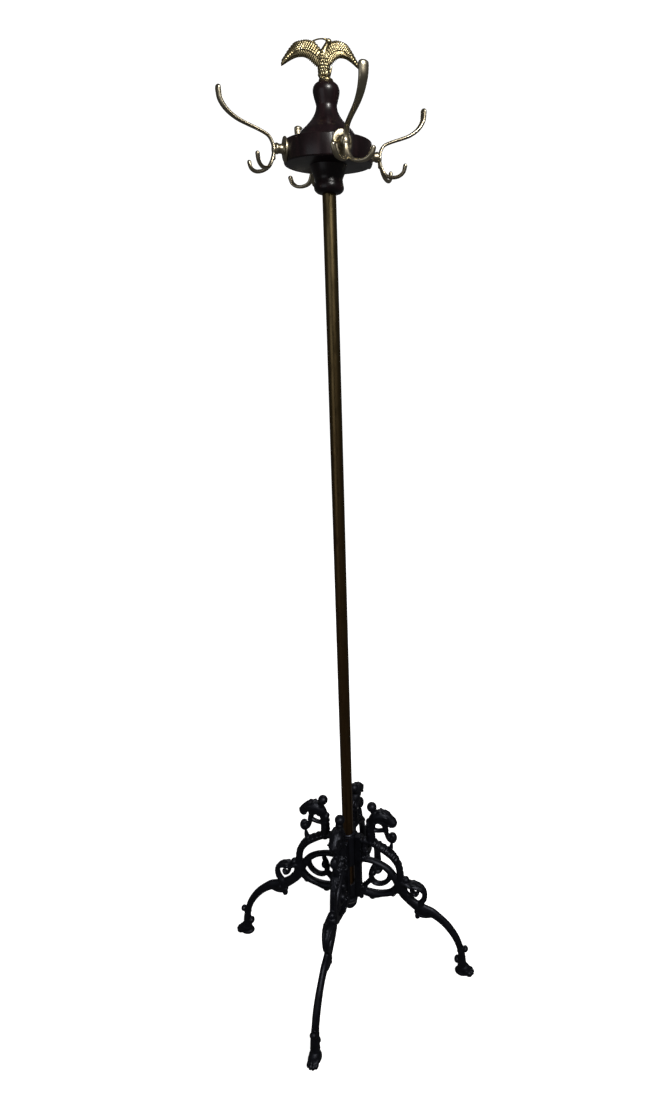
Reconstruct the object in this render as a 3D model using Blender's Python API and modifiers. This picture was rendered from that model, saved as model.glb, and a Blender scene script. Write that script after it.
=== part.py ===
"""Standing coat rack.

Four cast iron scroll legs are screwed to two octagonal hubs around a brass tube. A steel tie rod
runs up the tube and clamps the cap nut, the lower hub, the tube and the turned wooden head
together. The head carries four cast brass hooks and a brass bird finial.

Metres, +Z up. The origin is on the floor, on the tube's axis. The legs point along -Y (front),
+X (right), +Y (back) and -X (left).
"""
import math

import bmesh
import bpy
from mathutils import Matrix, Vector

MM = 0.001

# Driving dimensions, in metres -------------------------------------------------------------------
GAP = 0.0003                 # clearance between pieces that touch
FIT = 0.0004                 # radial clearance of a shaft in its hole
OVERRUN = 0.010              # how far a cutter runs past the face that it cuts

POLE_RADIUS = 0.01125        # 7/8 inch tube
POLE_WALL = 0.0015
POLE_BOTTOM = 0.166          # the tube stands on the step inside the lower hub
POLE_LENGTH = 1.401          # up to the step inside the wooden ferrule
ROD_RADIUS = 0.0048          # 3/8 inch tie rod

HUB_WALL = 0.0035            # wall between the tube and a leg's seat
HUB_SEAT_Z = 0.160           # top of the lower hub's flange, where the legs stand
LOWER_HUB_HEIGHT = 0.035
UPPER_HUB_BOTTOM = 0.242
UPPER_HUB_HEIGHT = 0.068
HUB_LIP_HEIGHT = 0.005
FLANGE_THICKNESS = 0.010
FLANGE_OVERHANG = 0.005

LEG_REACH = 0.2405           # from a leg's seat to the middle of its paw
LEG_THICKNESS = 0.014
BACK_BAR_DEPTH = 0.013
BACK_BAR_HEIGHT = 0.156
PAW_LENGTH = 0.042
PAW_WIDTH = 0.029
PAW_HEIGHT = 0.024
BOLT_RADIUS = 0.0028
BOLT_HEAD_RADIUS = 0.0055
BOLT_HEAD_HEIGHT = 0.0036
BOLT_SLOT_WIDTH = 0.0012
BOLT_SLOT_DEPTH = 0.0013
BOLT_GRIP = 0.003            # how deep a leg screw enters its hub
LOWER_BOLT_RISE = 0.029      # above the seat
UPPER_BOLT_RISE = 0.117

WASHER_RADIUS = 0.0175
WASHER_THICKNESS = 0.002
NUT_RADIUS = 0.0165
NUT_HEIGHT = 0.025
NUT_THREAD = 0.0175          # how far the tie rod screws into the cap nut

FERRULE_HEIGHT = 0.041
FERRULE_RADIUS = 0.024
FERRULE_SOCKET = 0.026       # how far the tube goes into the ferrule
FERRULE_LIP = 0.0028         # wood left round the socket's mouth
DRUM_RADIUS = 0.070
DRUM_HEIGHT = 0.032
DRUM_EASE = 0.0015           # the softened edges of the drum
FLAT_DEPTH = 0.002           # flats milled on the drum for the hook plates
VASE_HEIGHT = 0.0828
VASE_FOOT_RADIUS = 0.0505
VASE_NECK_RADIUS = 0.0165
VASE_BULB_RADIUS = 0.021

HOOK_TURN = math.radians(35.2)   # the head's turn from the legs
HOOK_RISE = 0.018            # from the drum's underside to the middle of a plate
HOOK_PLATE_WIDTH = 0.031
HOOK_PLATE_HEIGHT = 0.036
HOOK_PLATE_THICKNESS = 0.003
HOOK_NECK_RADIUS = 0.0072
HOOK_STEM = 0.019            # from a plate's back to the middle of the strip
HOOK_REACH = 0.0975          # from a plate's back to the upper arm's tip
PRONG_REACH = 0.051
PRONG_SPREAD = 0.0305
ARM_FLATTENING = 1.75        # an arm's width over its thickness
HOOK_SCREW_RADIUS = 0.0016
HOOK_SCREW_HEAD_RADIUS = 0.0034
HOOK_SCREW_OFFSET = 0.0112
HOOK_SCREW_DEPTH = 0.014

BIRD_TURN = math.radians(17.0)   # the way that the bird faces, from the front leg
BIRD_SEAT_RADIUS = 0.0115
BIRD_SHIFT = 0.003           # the wings' middle sits this far to one side of the seat
LEFT_WING = (1.0, 0.0)       # share of the drawn span, and how far back the tip is swept
RIGHT_WING = (0.78, 0.022)
ROD_THREAD_IN_BIRD = 0.014

ROUND_STEPS = 28             # facets round the wooden pieces
SMALL_STEPS = 16             # facets round the metal turned pieces

# Positions that follow from the sizes ------------------------------------------------------------
HUB_APOTHEM = POLE_RADIUS + HUB_WALL
SEAT_RADIUS = HUB_APOTHEM + GAP
FLANGE_RADIUS = HUB_APOTHEM + FLANGE_OVERHANG
POLE_TOP = POLE_BOTTOM + POLE_LENGTH
FERRULE_BOTTOM = POLE_TOP + GAP - FERRULE_SOCKET
DRUM_BOTTOM = FERRULE_BOTTOM + FERRULE_HEIGHT + GAP
DRUM_TOP = DRUM_BOTTOM + DRUM_HEIGHT
VASE_BOTTOM = DRUM_TOP + GAP
VASE_TOP = VASE_BOTTOM + VASE_HEIGHT
BIRD_BOTTOM = VASE_TOP + GAP
FLANGE_BOTTOM = HUB_SEAT_Z - FLANGE_THICKNESS
WASHER_BOTTOM = FLANGE_BOTTOM - GAP - WASHER_THICKNESS
NUT_TOP = WASHER_BOTTOM - GAP
NUT_BOTTOM = NUT_TOP - NUT_HEIGHT
FLAT_APOTHEM = DRUM_RADIUS - FLAT_DEPTH
HOOK_BACK = FLAT_APOTHEM + GAP
HOOK_CENTRE_Z = DRUM_BOTTOM + HOOK_RISE

SIDES = ("front", "right", "back", "left")

# The leg's scroll is drawn in millimetres, from a point on the leg's seat line.
SCROLL_ORIGIN = (15.0, 160.0)


# Scene and materials -----------------------------------------------------------------------------
def clear_scene():
    for obj in list(bpy.data.objects):
        bpy.data.objects.remove(obj, do_unlink=True)


def new_collection(name):
    collection = bpy.data.collections.new(name)
    bpy.context.scene.collection.children.link(collection)
    return collection


def principled(name, colour, roughness, metallic):
    material = bpy.data.materials.new(name)
    material.use_nodes = True
    shader = material.node_tree.nodes["Principled BSDF"]
    shader.inputs["Base Color"].default_value = (*colour, 1.0)
    shader.inputs["Roughness"].default_value = roughness
    shader.inputs["Metallic"].default_value = metallic
    return material


IRON = ((0.018, 0.019, 0.024), 0.45, 0.6)
TUBE_BRASS = ((0.20, 0.135, 0.055), 0.38, 1.0)
HOOK_BRASS = ((0.62, 0.50, 0.26), 0.30, 1.0)
SCREW_BRASS = ((0.50, 0.38, 0.18), 0.35, 1.0)
STEEL = ((0.42, 0.42, 0.44), 0.35, 1.0)
DARK_WOOD = ((0.045, 0.020, 0.020), 0.22, 0.0)


# Mesh helpers ------------------------------------------------------------------------------------
def link_mesh(name, mesh, collection):
    obj = bpy.data.objects.new(name, mesh)
    collection.objects.link(obj)
    return obj


def mesh_from_bmesh(name, bm):
    mesh = bpy.data.meshes.new(name)
    bm.to_mesh(mesh)
    bm.free()
    return mesh


def evaluated_mesh(obj):
    bpy.context.view_layer.update()
    graph = bpy.context.evaluated_depsgraph_get()
    return bpy.data.meshes.new_from_object(obj.evaluated_get(graph))


def bake(obj, weld=False):
    """Replace an object's data and modifiers by the mesh that they make."""
    mesh = evaluated_mesh(obj)
    name, matrix = obj.name, obj.matrix_world.copy()
    collection = obj.users_collection[0]
    bpy.data.objects.remove(obj, do_unlink=True)
    if weld:
        bm = bmesh.new()
        bm.from_mesh(mesh)
        bmesh.ops.remove_doubles(bm, verts=bm.verts, dist=0.00001)
        bmesh.ops.recalc_face_normals(bm, faces=bm.faces)
        bm.to_mesh(mesh)
        bm.free()
    baked = link_mesh(name, mesh, collection)
    baked.matrix_world = matrix
    return baked


def combine(obj, others, operation):
    """Join or cut a piece with others, bake the result and drop the tools."""
    for other in others:
        modifier = obj.modifiers.new(operation.title(), "BOOLEAN")
        modifier.operation = operation
        modifier.object = other
        modifier.solver = "EXACT"
    result = bake(obj)
    for other in others:
        bpy.data.objects.remove(other, do_unlink=True)
    return result


def shade(obj, degrees=40.0):
    obj.data.shade_smooth()
    obj.data.set_sharp_from_angle(angle=math.radians(degrees))
    return obj


def box(name, low, high, collection):
    """An upright box between two corners."""
    low, high = Vector(low), Vector(high)
    bm = bmesh.new()
    bmesh.ops.create_cube(bm, size=1.0)
    bmesh.ops.scale(bm, vec=high - low, verts=bm.verts)
    bmesh.ops.translate(bm, vec=(low + high) / 2, verts=bm.verts)
    return link_mesh(name, mesh_from_bmesh(name, bm), collection)


def rod(name, radius, start, end, collection, segments=SMALL_STEPS, turn=0.0):
    """A straight cylinder or prism from one point to another."""
    start, end = Vector(start), Vector(end)
    bm = bmesh.new()
    bmesh.ops.create_cone(bm, cap_ends=True, segments=segments, radius1=radius, radius2=radius,
                          depth=(end - start).length)
    spin = (end - start).to_track_quat("Z", "Y").to_matrix().to_4x4()
    matrix = Matrix.Translation((start + end) / 2) @ spin @ Matrix.Rotation(turn, 4, "Z")
    bmesh.ops.transform(bm, matrix=matrix, verts=bm.verts)
    return link_mesh(name, mesh_from_bmesh(name, bm), collection)


def ball(name, centre, radii, collection, segments=12, rings=8):
    """An ellipsoid with its own radius along each axis."""
    bm = bmesh.new()
    bmesh.ops.create_uvsphere(bm, u_segments=segments, v_segments=rings, radius=1.0)
    bmesh.ops.scale(bm, vec=radii, verts=bm.verts)
    bmesh.ops.translate(bm, vec=centre, verts=bm.verts)
    return link_mesh(name, mesh_from_bmesh(name, bm), collection)


def turned(name, profile, collection, steps, bored=False):
    """Turn a profile of (radius, z) about Z. It runs down the outer side, from top to bottom.

    A bored piece's profile is a closed loop that comes back up the bore.
    """
    bm = bmesh.new()
    verts = [bm.verts.new((radius, 0.0, z)) for radius, z in profile]
    for first, second in zip(verts, verts[1:]):
        bm.edges.new((first, second))
    if bored:
        bm.edges.new((verts[-1], verts[0]))
    obj = link_mesh(name, mesh_from_bmesh(name, bm), collection)
    screw = obj.modifiers.new("Turn", "SCREW")
    screw.steps = steps
    screw.render_steps = steps
    screw.use_merge_vertices = True
    screw.merge_threshold = 0.00002
    screw.use_smooth_shade = True
    return bake(obj, weld=True)


def smooth_path(points, per_span):
    """Points on a Catmull-Rom curve through the given ones; extra columns are carried along."""
    ends = [Vector(p) for p in points]
    padded = [ends[0] * 2 - ends[1]] + ends + [ends[-1] * 2 - ends[-2]]
    path = []
    for i in range(1, len(padded) - 2):
        a, b, c, d = padded[i - 1:i + 3]
        for step in range(per_span):
            t = step / per_span
            path.append(0.5 * (2 * b + (c - a) * t + (2 * a - 5 * b + 4 * c - d) * t ** 2
                               + (3 * b - a - 3 * c + d) * t ** 3))
    path.append(ends[-1])
    return path


def bar(name, points, radii, collection, roundness=1):
    """A round bar along 3-D points, with its own radius at each one and flat ends."""
    curve = bpy.data.curves.new(name, "CURVE")
    curve.dimensions = "3D"
    curve.twist_mode = "Z_UP"
    curve.bevel_depth = 1.0
    curve.bevel_resolution = roundness
    curve.use_fill_caps = True
    spline = curve.splines.new("POLY")
    spline.points.add(len(points) - 1)
    for slot, point, radius in zip(spline.points, points, radii):
        slot.co = (*point, 1.0)
        slot.radius = radius
    obj = bpy.data.objects.new(name, curve)
    collection.objects.link(obj)
    return bake(obj, weld=True)


def finish(obj, material, location=(0, 0, 0), turn=0.0):
    """Give a piece its material and its place."""
    obj.data.materials.clear()
    obj.data.materials.append(material)
    obj.location = location
    obj.rotation_euler = (0, 0, turn)
    return shade(obj)


def side_turn(index, start=0.0):
    """The turn that brings +X to one of four directions, counted from -Y towards +X."""
    return start + index * math.pi / 2 - math.pi / 2


def outward(distance, z, turn):
    return (distance * math.cos(turn), distance * math.sin(turn), z)


# Legs --------------------------------------------------------------------------------------------
# The casting's outline above the knee, as (outward, up) in millimetres, from the back bar's top
# round the beast's head, the arch and the small scroll to the knee.
UPPER_OUTLINE = [
    (27, 316), (36, 316), (42, 321), (42, 336), (42, 352), (45, 368), (50, 378), (47, 386),
    (57, 390), (61, 385), (69, 387), (78, 387), (90, 382), (96, 375), (104, 368), (107, 360),
    (105, 350), (100, 348), (95, 352), (89, 350), (86, 344), (87, 337), (96, 336), (102, 331),
    (104, 322), (102, 312), (95, 311), (87, 317), (82, 326), (77, 333), (66, 329), (63, 320),
    (66, 311), (76, 302), (87, 297), (89, 308), (94, 306), (98, 292), (107, 281), (114, 264),
    (118, 246), (119, 231), (125, 229), (131, 224), (133, 217), (141, 216), (151, 215),
    (160, 211), (167, 204), (171, 194), (170, 182), (165, 173), (164, 167),
]
# From under the knee back to the bar's foot.
LOWER_OUTLINE = [
    (166, 129), (157, 130), (154, 124), (147, 124), (145, 131), (148, 141), (146, 149), (133, 155),
    (122, 162), (115, 170), (109, 177), (100, 174), (92, 174), (76, 169), (65, 165), (56, 160.4),
    (28, 160.4),
]
WINDOWS = [
    # above the strut
    [(41, 301), (53, 297), (72, 286), (89, 274), (99, 260), (104, 243), (104, 229), (97, 239),
     (87, 249), (72, 257), (58, 261), (45, 265), (41, 272)],
    # between the back bar and the ring
    [(30, 246), (50, 246), (52, 240), (48, 233), (43, 225), (43, 213), (38, 204), (30, 203)],
    # crescent under the ring
    [(42, 187), (47, 196), (60, 197), (70, 198), (78, 203), (86, 212), (92, 211), (95, 203),
     (92, 194), (82, 187), (70, 182), (57, 181), (48, 183)],
    # the two eyes of the small scroll
    [(122, 205), (124, 196), (130, 188), (138, 183), (147, 180), (143, 186), (138, 192),
     (136, 200), (133, 206), (127, 207)],
    [(146, 206.5), (154, 207), (160, 200), (161, 191), (157, 185), (152, 184), (151, 190), (148, 198)],
]
SHIN_TOP, SHIN_WAIST, SHIN_FOOT = 0.0145, 0.0076, 0.0088     # half depths of the shin
ROUND_WINDOWS = [((67, 228), (12.5, 20.5), 14), ((65, 346), (5, 5), 8)]
# Thicker masses of the casting: middle and radii.
SWELLINGS = [((53, 392), (9.2, 9.2, 9.2)), ((78, 368), (19, 13, 13)), ((158, 150), (15, 10.5, 14))]


def on_leg(r, z):
    """A point of the drawing as metres from the leg's seat and the floor."""
    x0, z0 = SCROLL_ORIGIN
    return ((r - x0) * MM, (z - z0) * MM + HUB_SEAT_Z)


def shin_edges():
    """The shin's upper edge going down and its lower edge coming up, on a curved centreline."""
    knee = Vector(on_leg(158, 151))
    ankle = Vector((LEG_REACH - 0.008, PAW_HEIGHT * 0.4))
    bend = [knee, knee + Vector((0.046, -0.002)), ankle + Vector((0.0, 0.085)), ankle]
    upper, lower = [], []
    steps = 12
    for i in range(1, steps + 1):
        t = i / steps
        weights = ((1 - t) ** 3, 3 * t * (1 - t) ** 2, 3 * t * t * (1 - t), t ** 3)
        point = sum((w * p for w, p in zip(weights, bend)), Vector((0, 0)))
        slopes = (-(1 - t) ** 2, (1 - t) ** 2 - 2 * t * (1 - t), 2 * t * (1 - t) - t * t, t * t)
        along = sum((w * p for w, p in zip(slopes, bend)), Vector((0, 0))).normalized()
        normal = Vector((-along.y, along.x))
        half = max(SHIN_TOP * (1 - t) + SHIN_FOOT * t * t, SHIN_WAIST)
        upper.append(point + normal * half)
        lower.append(point - normal * half)
    return upper, lower[::-1]


def leg_plate(tools):
    """The flat casting: an outline with its windows, drawn on XZ and made LEG_THICKNESS thick."""
    upper_edge, lower_edge = shin_edges()
    outline = [(0.0, HUB_SEAT_Z + GAP), (0.0, HUB_SEAT_Z + BACK_BAR_HEIGHT)]
    outline += [on_leg(r, z) for r, z in UPPER_OUTLINE]
    outline += [tuple(p) for p in upper_edge + lower_edge[:-1]]
    outline += [on_leg(r, z) for r, z in LOWER_OUTLINE]
    loops = [outline] + [[on_leg(r, z) for r, z in window] for window in WINDOWS]
    for (r, z), (wide, high), count in ROUND_WINDOWS:
        angles = [2 * math.pi * i / count for i in range(count)]
        loops.append([on_leg(r + wide * math.cos(a), z + high * math.sin(a)) for a in angles])
    curve = bpy.data.curves.new("plate", "CURVE")
    curve.dimensions = "2D"
    curve.fill_mode = "BOTH"
    curve.extrude = LEG_THICKNESS / 2
    for loop in loops:
        spline = curve.splines.new("POLY")
        spline.points.add(len(loop) - 1)
        for slot, (x, z) in zip(spline.points, loop):
            slot.co = (x, z, 0.0, 1.0)
        spline.use_cyclic_u = True
    obj = bpy.data.objects.new("leg", curve)
    tools.objects.link(obj)
    plate = bake(obj, weld=True)
    plate.data.transform(Matrix.Rotation(math.pi / 2, 4, "X"))
    return plate


def leg_mesh(tools):
    """One leg, with its seat at x = 0 and its plane on XZ."""
    masses = []
    for (r, z), radii in SWELLINGS:
        x, up = on_leg(r, z)
        masses.append(ball("mass", (x, 0.0, up), [v * MM for v in radii], tools, 8, 6))
    masses.append(ball("ankle_knob", (LEG_REACH - 0.005, 0.0, 0.066), (0.0085, 0.009, 0.008),
                       tools, 8, 6))
    masses.append(paw(tools))
    return combine(leg_plate(tools), masses, "UNION")


def paw(tools):
    """A rounded paw with a flat sole on the floor."""
    centre = (LEG_REACH, 0.0, PAW_HEIGHT * 0.25)
    radii = (PAW_LENGTH / 2, PAW_WIDTH / 2, PAW_HEIGHT * 0.75)
    foot = ball("paw", centre, radii, tools, 12, 9)
    reach = LEG_REACH + PAW_LENGTH
    below = box("floor", (0.0, -PAW_WIDTH, -PAW_HEIGHT), (reach, PAW_WIDTH, 0.0), tools)
    return combine(foot, [below], "DIFFERENCE")


def bolt_heights():
    return (("lower", HUB_SEAT_Z + LOWER_BOLT_RISE), ("upper", HUB_SEAT_Z + UPPER_BOLT_RISE))


def make_legs(parts, tools, iron, steel):
    leg = leg_mesh(tools)
    holes = [rod("hole", BOLT_RADIUS + FIT, (-0.002, 0, z), (BACK_BAR_DEPTH + 0.002, 0, z), tools)
             for _, z in bolt_heights()]
    seats = [rod("seat", BOLT_HEAD_RADIUS + 0.0012, (BACK_BAR_DEPTH, 0, z),
                 (BACK_BAR_DEPTH + 0.007, 0, z), tools)
             for _, z in bolt_heights()]
    leg = combine(leg, holes + seats, "DIFFERENCE")
    for index, side in enumerate(SIDES):
        turn = side_turn(index)
        copy = link_mesh(f"leg_{side}", leg.data, parts)
        finish(copy, iron, outward(SEAT_RADIUS, 0.0, turn), turn)
        for level, z in bolt_heights():
            bolt = leg_bolt(f"leg_bolt_{side}_{level}", parts)
            finish(bolt, steel, outward(SEAT_RADIUS, z, turn), turn)
    bpy.data.objects.remove(leg, do_unlink=True)


def leg_bolt(name, parts):
    """A round-headed screw along +X, with x = 0 at the leg's seat."""
    start = (-(GAP + BOLT_GRIP), 0, 0)
    shank = rod("shank", BOLT_RADIUS, start, (BACK_BAR_DEPTH + 0.001, 0, 0), parts, 12)
    middle = (BACK_BAR_DEPTH + GAP, 0, 0)
    dome = ball("dome", middle, (BOLT_HEAD_HEIGHT, BOLT_HEAD_RADIUS, BOLT_HEAD_RADIUS), parts, 12, 6)
    width = 2 * BOLT_HEAD_RADIUS
    inner = box("inner", (-width, -width, -width), (BACK_BAR_DEPTH + GAP, width, width), parts)
    head = combine(dome, [inner], "DIFFERENCE")
    top = BACK_BAR_DEPTH + GAP + BOLT_HEAD_HEIGHT
    slot = box("slot", (top - BOLT_SLOT_DEPTH, -BOLT_SLOT_WIDTH / 2, -width),
               (top + OVERRUN, BOLT_SLOT_WIDTH / 2, width), parts)
    screw = combine(shank, [head], "UNION")
    screw = combine(screw, [slot], "DIFFERENCE")
    screw.name = name
    return screw


# Hubs, tube, rod and nut -------------------------------------------------------------------------
def octagon(name, apothem, bottom, top, collection):
    """An upright eight-sided block with flats facing the legs."""
    corner = apothem / math.cos(math.pi / 8)
    return rod(name, corner, (0, 0, bottom), (0, 0, top), collection, 8, math.pi / 8)


def bolt_pilots(z, tools):
    """Holes for the four leg screws at one height."""
    inner = HUB_APOTHEM - BOLT_GRIP - GAP
    outer = HUB_APOTHEM + 0.002
    return [rod("pilot", BOLT_RADIUS + FIT, outward(inner, z, side_turn(i)),
                outward(outer, z, side_turn(i)), tools, 12) for i in range(4)]


def make_hubs(parts, tools, iron):
    (_, low_bolt), (_, high_bolt) = bolt_heights()
    root = HUB_SEAT_Z - FLANGE_THICKNESS / 2
    lower = octagon("lower_hub", HUB_APOTHEM, root, HUB_SEAT_Z + LOWER_HUB_HEIGHT, tools)
    flange = rod("flange", FLANGE_RADIUS, (0, 0, FLANGE_BOTTOM), (0, 0, HUB_SEAT_Z), tools, 24)
    lower = combine(lower, [flange], "UNION")
    socket = rod("socket", POLE_RADIUS + FIT, (0, 0, POLE_BOTTOM - GAP),
                 (0, 0, HUB_SEAT_Z + LOWER_HUB_HEIGHT + OVERRUN), tools, 24)
    through = rod("through", ROD_RADIUS + FIT, (0, 0, FLANGE_BOTTOM - OVERRUN),
                  (0, 0, POLE_BOTTOM + OVERRUN), tools)
    lower = combine(lower, [socket, through] + bolt_pilots(low_bolt, tools), "DIFFERENCE")
    lower.name = "lower_hub"

    top = UPPER_HUB_BOTTOM + UPPER_HUB_HEIGHT
    upper = octagon("upper_hub", HUB_APOTHEM, UPPER_HUB_BOTTOM, top, tools)
    lip_profile = [(0.0, top + HUB_LIP_HEIGHT), (HUB_APOTHEM - 0.0012, top + HUB_LIP_HEIGHT),
                   (HUB_APOTHEM - 0.0002, top + 0.5 * HUB_LIP_HEIGHT),
                   (HUB_APOTHEM - 0.0012, top - 0.001), (0.0, top - 0.001)]
    lip = turned("lip", lip_profile, tools, 24)
    upper = combine(upper, [lip], "UNION")
    bore = rod("bore", POLE_RADIUS + FIT, (0, 0, UPPER_HUB_BOTTOM - OVERRUN),
               (0, 0, top + 2 * OVERRUN), tools, 24)
    upper = combine(upper, [bore] + bolt_pilots(high_bolt, tools), "DIFFERENCE")
    upper.name = "upper_hub"
    for hub in (lower, upper):
        tools.objects.unlink(hub)
        parts.objects.link(hub)
        finish(hub, iron)


def make_pole(parts, tube_brass, steel):
    inner = POLE_RADIUS - POLE_WALL
    profile = [(POLE_RADIUS, POLE_TOP), (POLE_RADIUS, POLE_BOTTOM), (inner, POLE_BOTTOM),
               (inner, POLE_TOP)]
    finish(turned("pole_tube", profile, parts, 24, bored=True), tube_brass)

    bottom = NUT_TOP - NUT_THREAD
    top = BIRD_BOTTOM + ROD_THREAD_IN_BIRD
    finish(rod("tie_rod", ROD_RADIUS, (0, 0, bottom), (0, 0, top), parts), steel)


def make_nut(parts, iron, steel):
    hole = ROD_RADIUS + FIT
    washer_top = WASHER_BOTTOM + WASHER_THICKNESS
    ring = [(WASHER_RADIUS, washer_top), (WASHER_RADIUS, WASHER_BOTTOM), (hole, WASHER_BOTTOM),
            (hole, washer_top)]
    finish(turned("base_washer", ring, parts, 24, bored=True), steel)

    nut = [(NUT_RADIUS * 0.94, NUT_TOP), (NUT_RADIUS, NUT_TOP - NUT_HEIGHT * 0.12),
           (NUT_RADIUS * 0.97, NUT_TOP - NUT_HEIGHT * 0.30),
           (NUT_RADIUS * 0.78, NUT_TOP - NUT_HEIGHT * 0.58),
           (NUT_RADIUS * 0.48, NUT_TOP - NUT_HEIGHT * 0.82),
           (NUT_RADIUS * 0.22, NUT_TOP - NUT_HEIGHT * 0.97),
           (0.0, NUT_BOTTOM)]
    solid = turned("base_cap_nut", [(0.0, NUT_TOP)] + nut, parts, SMALL_STEPS)
    bore = rod("bore", hole, (0, 0, NUT_TOP - NUT_THREAD - GAP), (0, 0, NUT_TOP + OVERRUN), parts)
    finish(combine(solid, [bore], "DIFFERENCE"), iron)


# Turned wooden head ------------------------------------------------------------------------------
def rounded(profile, per_span=2):
    """A smooth turned outline through its main (radius, z) points."""
    return [(p.x, p.y) for p in smooth_path([Vector((r, z)) for r, z in profile], per_span)]


def make_ferrule(parts, wood):
    top = FERRULE_BOTTOM + FERRULE_HEIGHT
    swell = FERRULE_RADIUS
    outline = rounded([(swell * 1.26, top), (swell * 1.10, top - 0.011), (swell * 0.95, top - 0.020),
                       (swell, top - 0.030), (swell * 0.94, top - 0.036)])
    socket = POLE_RADIUS + FIT
    foot = socket + FERRULE_LIP
    hole = ROD_RADIUS + FIT
    step = POLE_TOP + GAP
    loop = outline + [(swell * 0.75, FERRULE_BOTTOM + 0.0015), (foot, FERRULE_BOTTOM),
                      (socket, FERRULE_BOTTOM), (socket, step), (hole, step), (hole, top)]
    finish(turned("ferrule", loop, parts, ROUND_STEPS, bored=True), wood)


def make_drum(parts, tools, wood):
    hole = ROD_RADIUS + FIT
    loop = [(DRUM_RADIUS - DRUM_EASE, DRUM_TOP), (DRUM_RADIUS, DRUM_TOP - DRUM_EASE),
            (DRUM_RADIUS, DRUM_BOTTOM + DRUM_EASE), (DRUM_RADIUS - DRUM_EASE, DRUM_BOTTOM),
            (hole, DRUM_BOTTOM), (hole, DRUM_TOP)]
    drum = turned("hook_drum", loop, tools, 40, bored=True)
    cutters = []
    for index in range(4):
        turn = side_turn(index, HOOK_TURN)
        face = box("flat", (FLAT_APOTHEM, -DRUM_RADIUS, DRUM_BOTTOM - OVERRUN),
                   (DRUM_RADIUS + OVERRUN, DRUM_RADIUS, DRUM_TOP + OVERRUN), tools)
        face.rotation_euler = (0, 0, turn)
        cutters.append(face)
        for side in (-1, 1):
            pilot = rod("pilot", HOOK_SCREW_RADIUS + FIT,
                        (FLAT_APOTHEM - HOOK_SCREW_DEPTH - GAP, side * HOOK_SCREW_OFFSET,
                         HOOK_CENTRE_Z),
                        (DRUM_RADIUS, side * HOOK_SCREW_OFFSET, HOOK_CENTRE_Z), tools, 8)
            pilot.rotation_euler = (0, 0, turn)
            cutters.append(pilot)
    drum = combine(drum, cutters, "DIFFERENCE")
    tools.objects.unlink(drum)
    parts.objects.link(drum)
    finish(drum, wood)


def make_vase(parts, wood):
    hole = ROD_RADIUS + FIT
    neck = VASE_NECK_RADIUS
    bulb = VASE_BULB_RADIUS
    outline = rounded([(BIRD_SEAT_RADIUS + 0.0005, VASE_TOP), (bulb * 0.94, VASE_TOP - 0.006),
                       (bulb, VASE_TOP - 0.013), (bulb * 0.90, VASE_TOP - 0.023),
                       (neck, VASE_TOP - 0.033), (neck * 1.32, VASE_TOP - 0.047),
                       (neck * 2.00, VASE_TOP - 0.061), (VASE_FOOT_RADIUS * 0.85, VASE_TOP - 0.072),
                       (VASE_FOOT_RADIUS, VASE_BOTTOM)])
    loop = outline + [(hole, VASE_BOTTOM), (hole, VASE_TOP)]
    finish(turned("vase_turning", loop, parts, ROUND_STEPS, bored=True), wood)


# Hooks -------------------------------------------------------------------------------------------
def arm(name, points, radii, tools):
    """A flattened arm of a hook: a round bar drawn out sideways."""
    squeezed = [(x, y / ARM_FLATTENING, z) for x, y, z in points]
    piece = bar(name, squeezed, radii, tools)
    piece.data.transform(Matrix.Diagonal((1.0, ARM_FLATTENING, 1.0, 1.0)))
    return piece


def hook_mesh(tools):
    """One cast hook, with its plate's back at x = 0 and its middle at z = 0."""
    plate = rod("hook", 1.0, (0, 0, 0), (HOOK_PLATE_THICKNESS, 0, 0), tools, 24)
    oval = Matrix.Diagonal((1.0, HOOK_PLATE_WIDTH / 2, HOOK_PLATE_HEIGHT / 2, 1.0))
    plate.data.transform(oval)
    neck = rod("neck", HOOK_NECK_RADIUS, (HOOK_PLATE_THICKNESS / 2, 0, 0), (HOOK_STEM - 0.001, 0, 0),
               tools, 12)
    stem, tip = HOOK_STEM, HOOK_REACH
    upper = smooth_path([(stem, 0.0, -0.013, 2.3), (stem, 0.0, 0.001, 2.6),
                         (0.028, 0.0, 0.015, 2.4), (0.047, 0.0, 0.026, 2.4),
                         (0.072, 0.0, 0.036, 2.7), (tip - 0.010, 0.0, 0.049, 3.3),
                         (tip - 0.001, 0.0, 0.061, 4.0), (tip, 0.0, 0.073, 4.2),
                         (tip, 0.0, 0.077, 2.6)], 2)
    pieces = [neck, arm("upper", [p[:3] for p in upper], [p[3] * MM for p in upper], tools)]
    for side in (-1, 1):
        y = side * PRONG_SPREAD
        low = smooth_path([(stem + 0.0004, y * 0.03, -0.006, 2.2),
                           (stem + 0.005, y * 0.06, -0.021, 2.4),
                           (PRONG_REACH - 0.020, y * 0.26, -0.030, 2.4),
                           (PRONG_REACH - 0.010, y * 0.66, -0.031, 2.4),
                           (PRONG_REACH - 0.002, y * 0.93, -0.024, 2.6),
                           (PRONG_REACH, y, -0.015, 2.7), (PRONG_REACH, y, -0.0125, 1.7)], 2)
        pieces.append(arm("prong", [p[:3] for p in low], [p[3] * MM for p in low], tools))
    hook = combine(plate, pieces, "UNION")
    holes = [rod("hole", HOOK_SCREW_RADIUS + FIT, (-0.001, side * HOOK_SCREW_OFFSET, 0),
                 (HOOK_PLATE_THICKNESS + 0.001, side * HOOK_SCREW_OFFSET, 0), tools, 12)
             for side in (-1, 1)]
    return combine(hook, holes, "DIFFERENCE")


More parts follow.
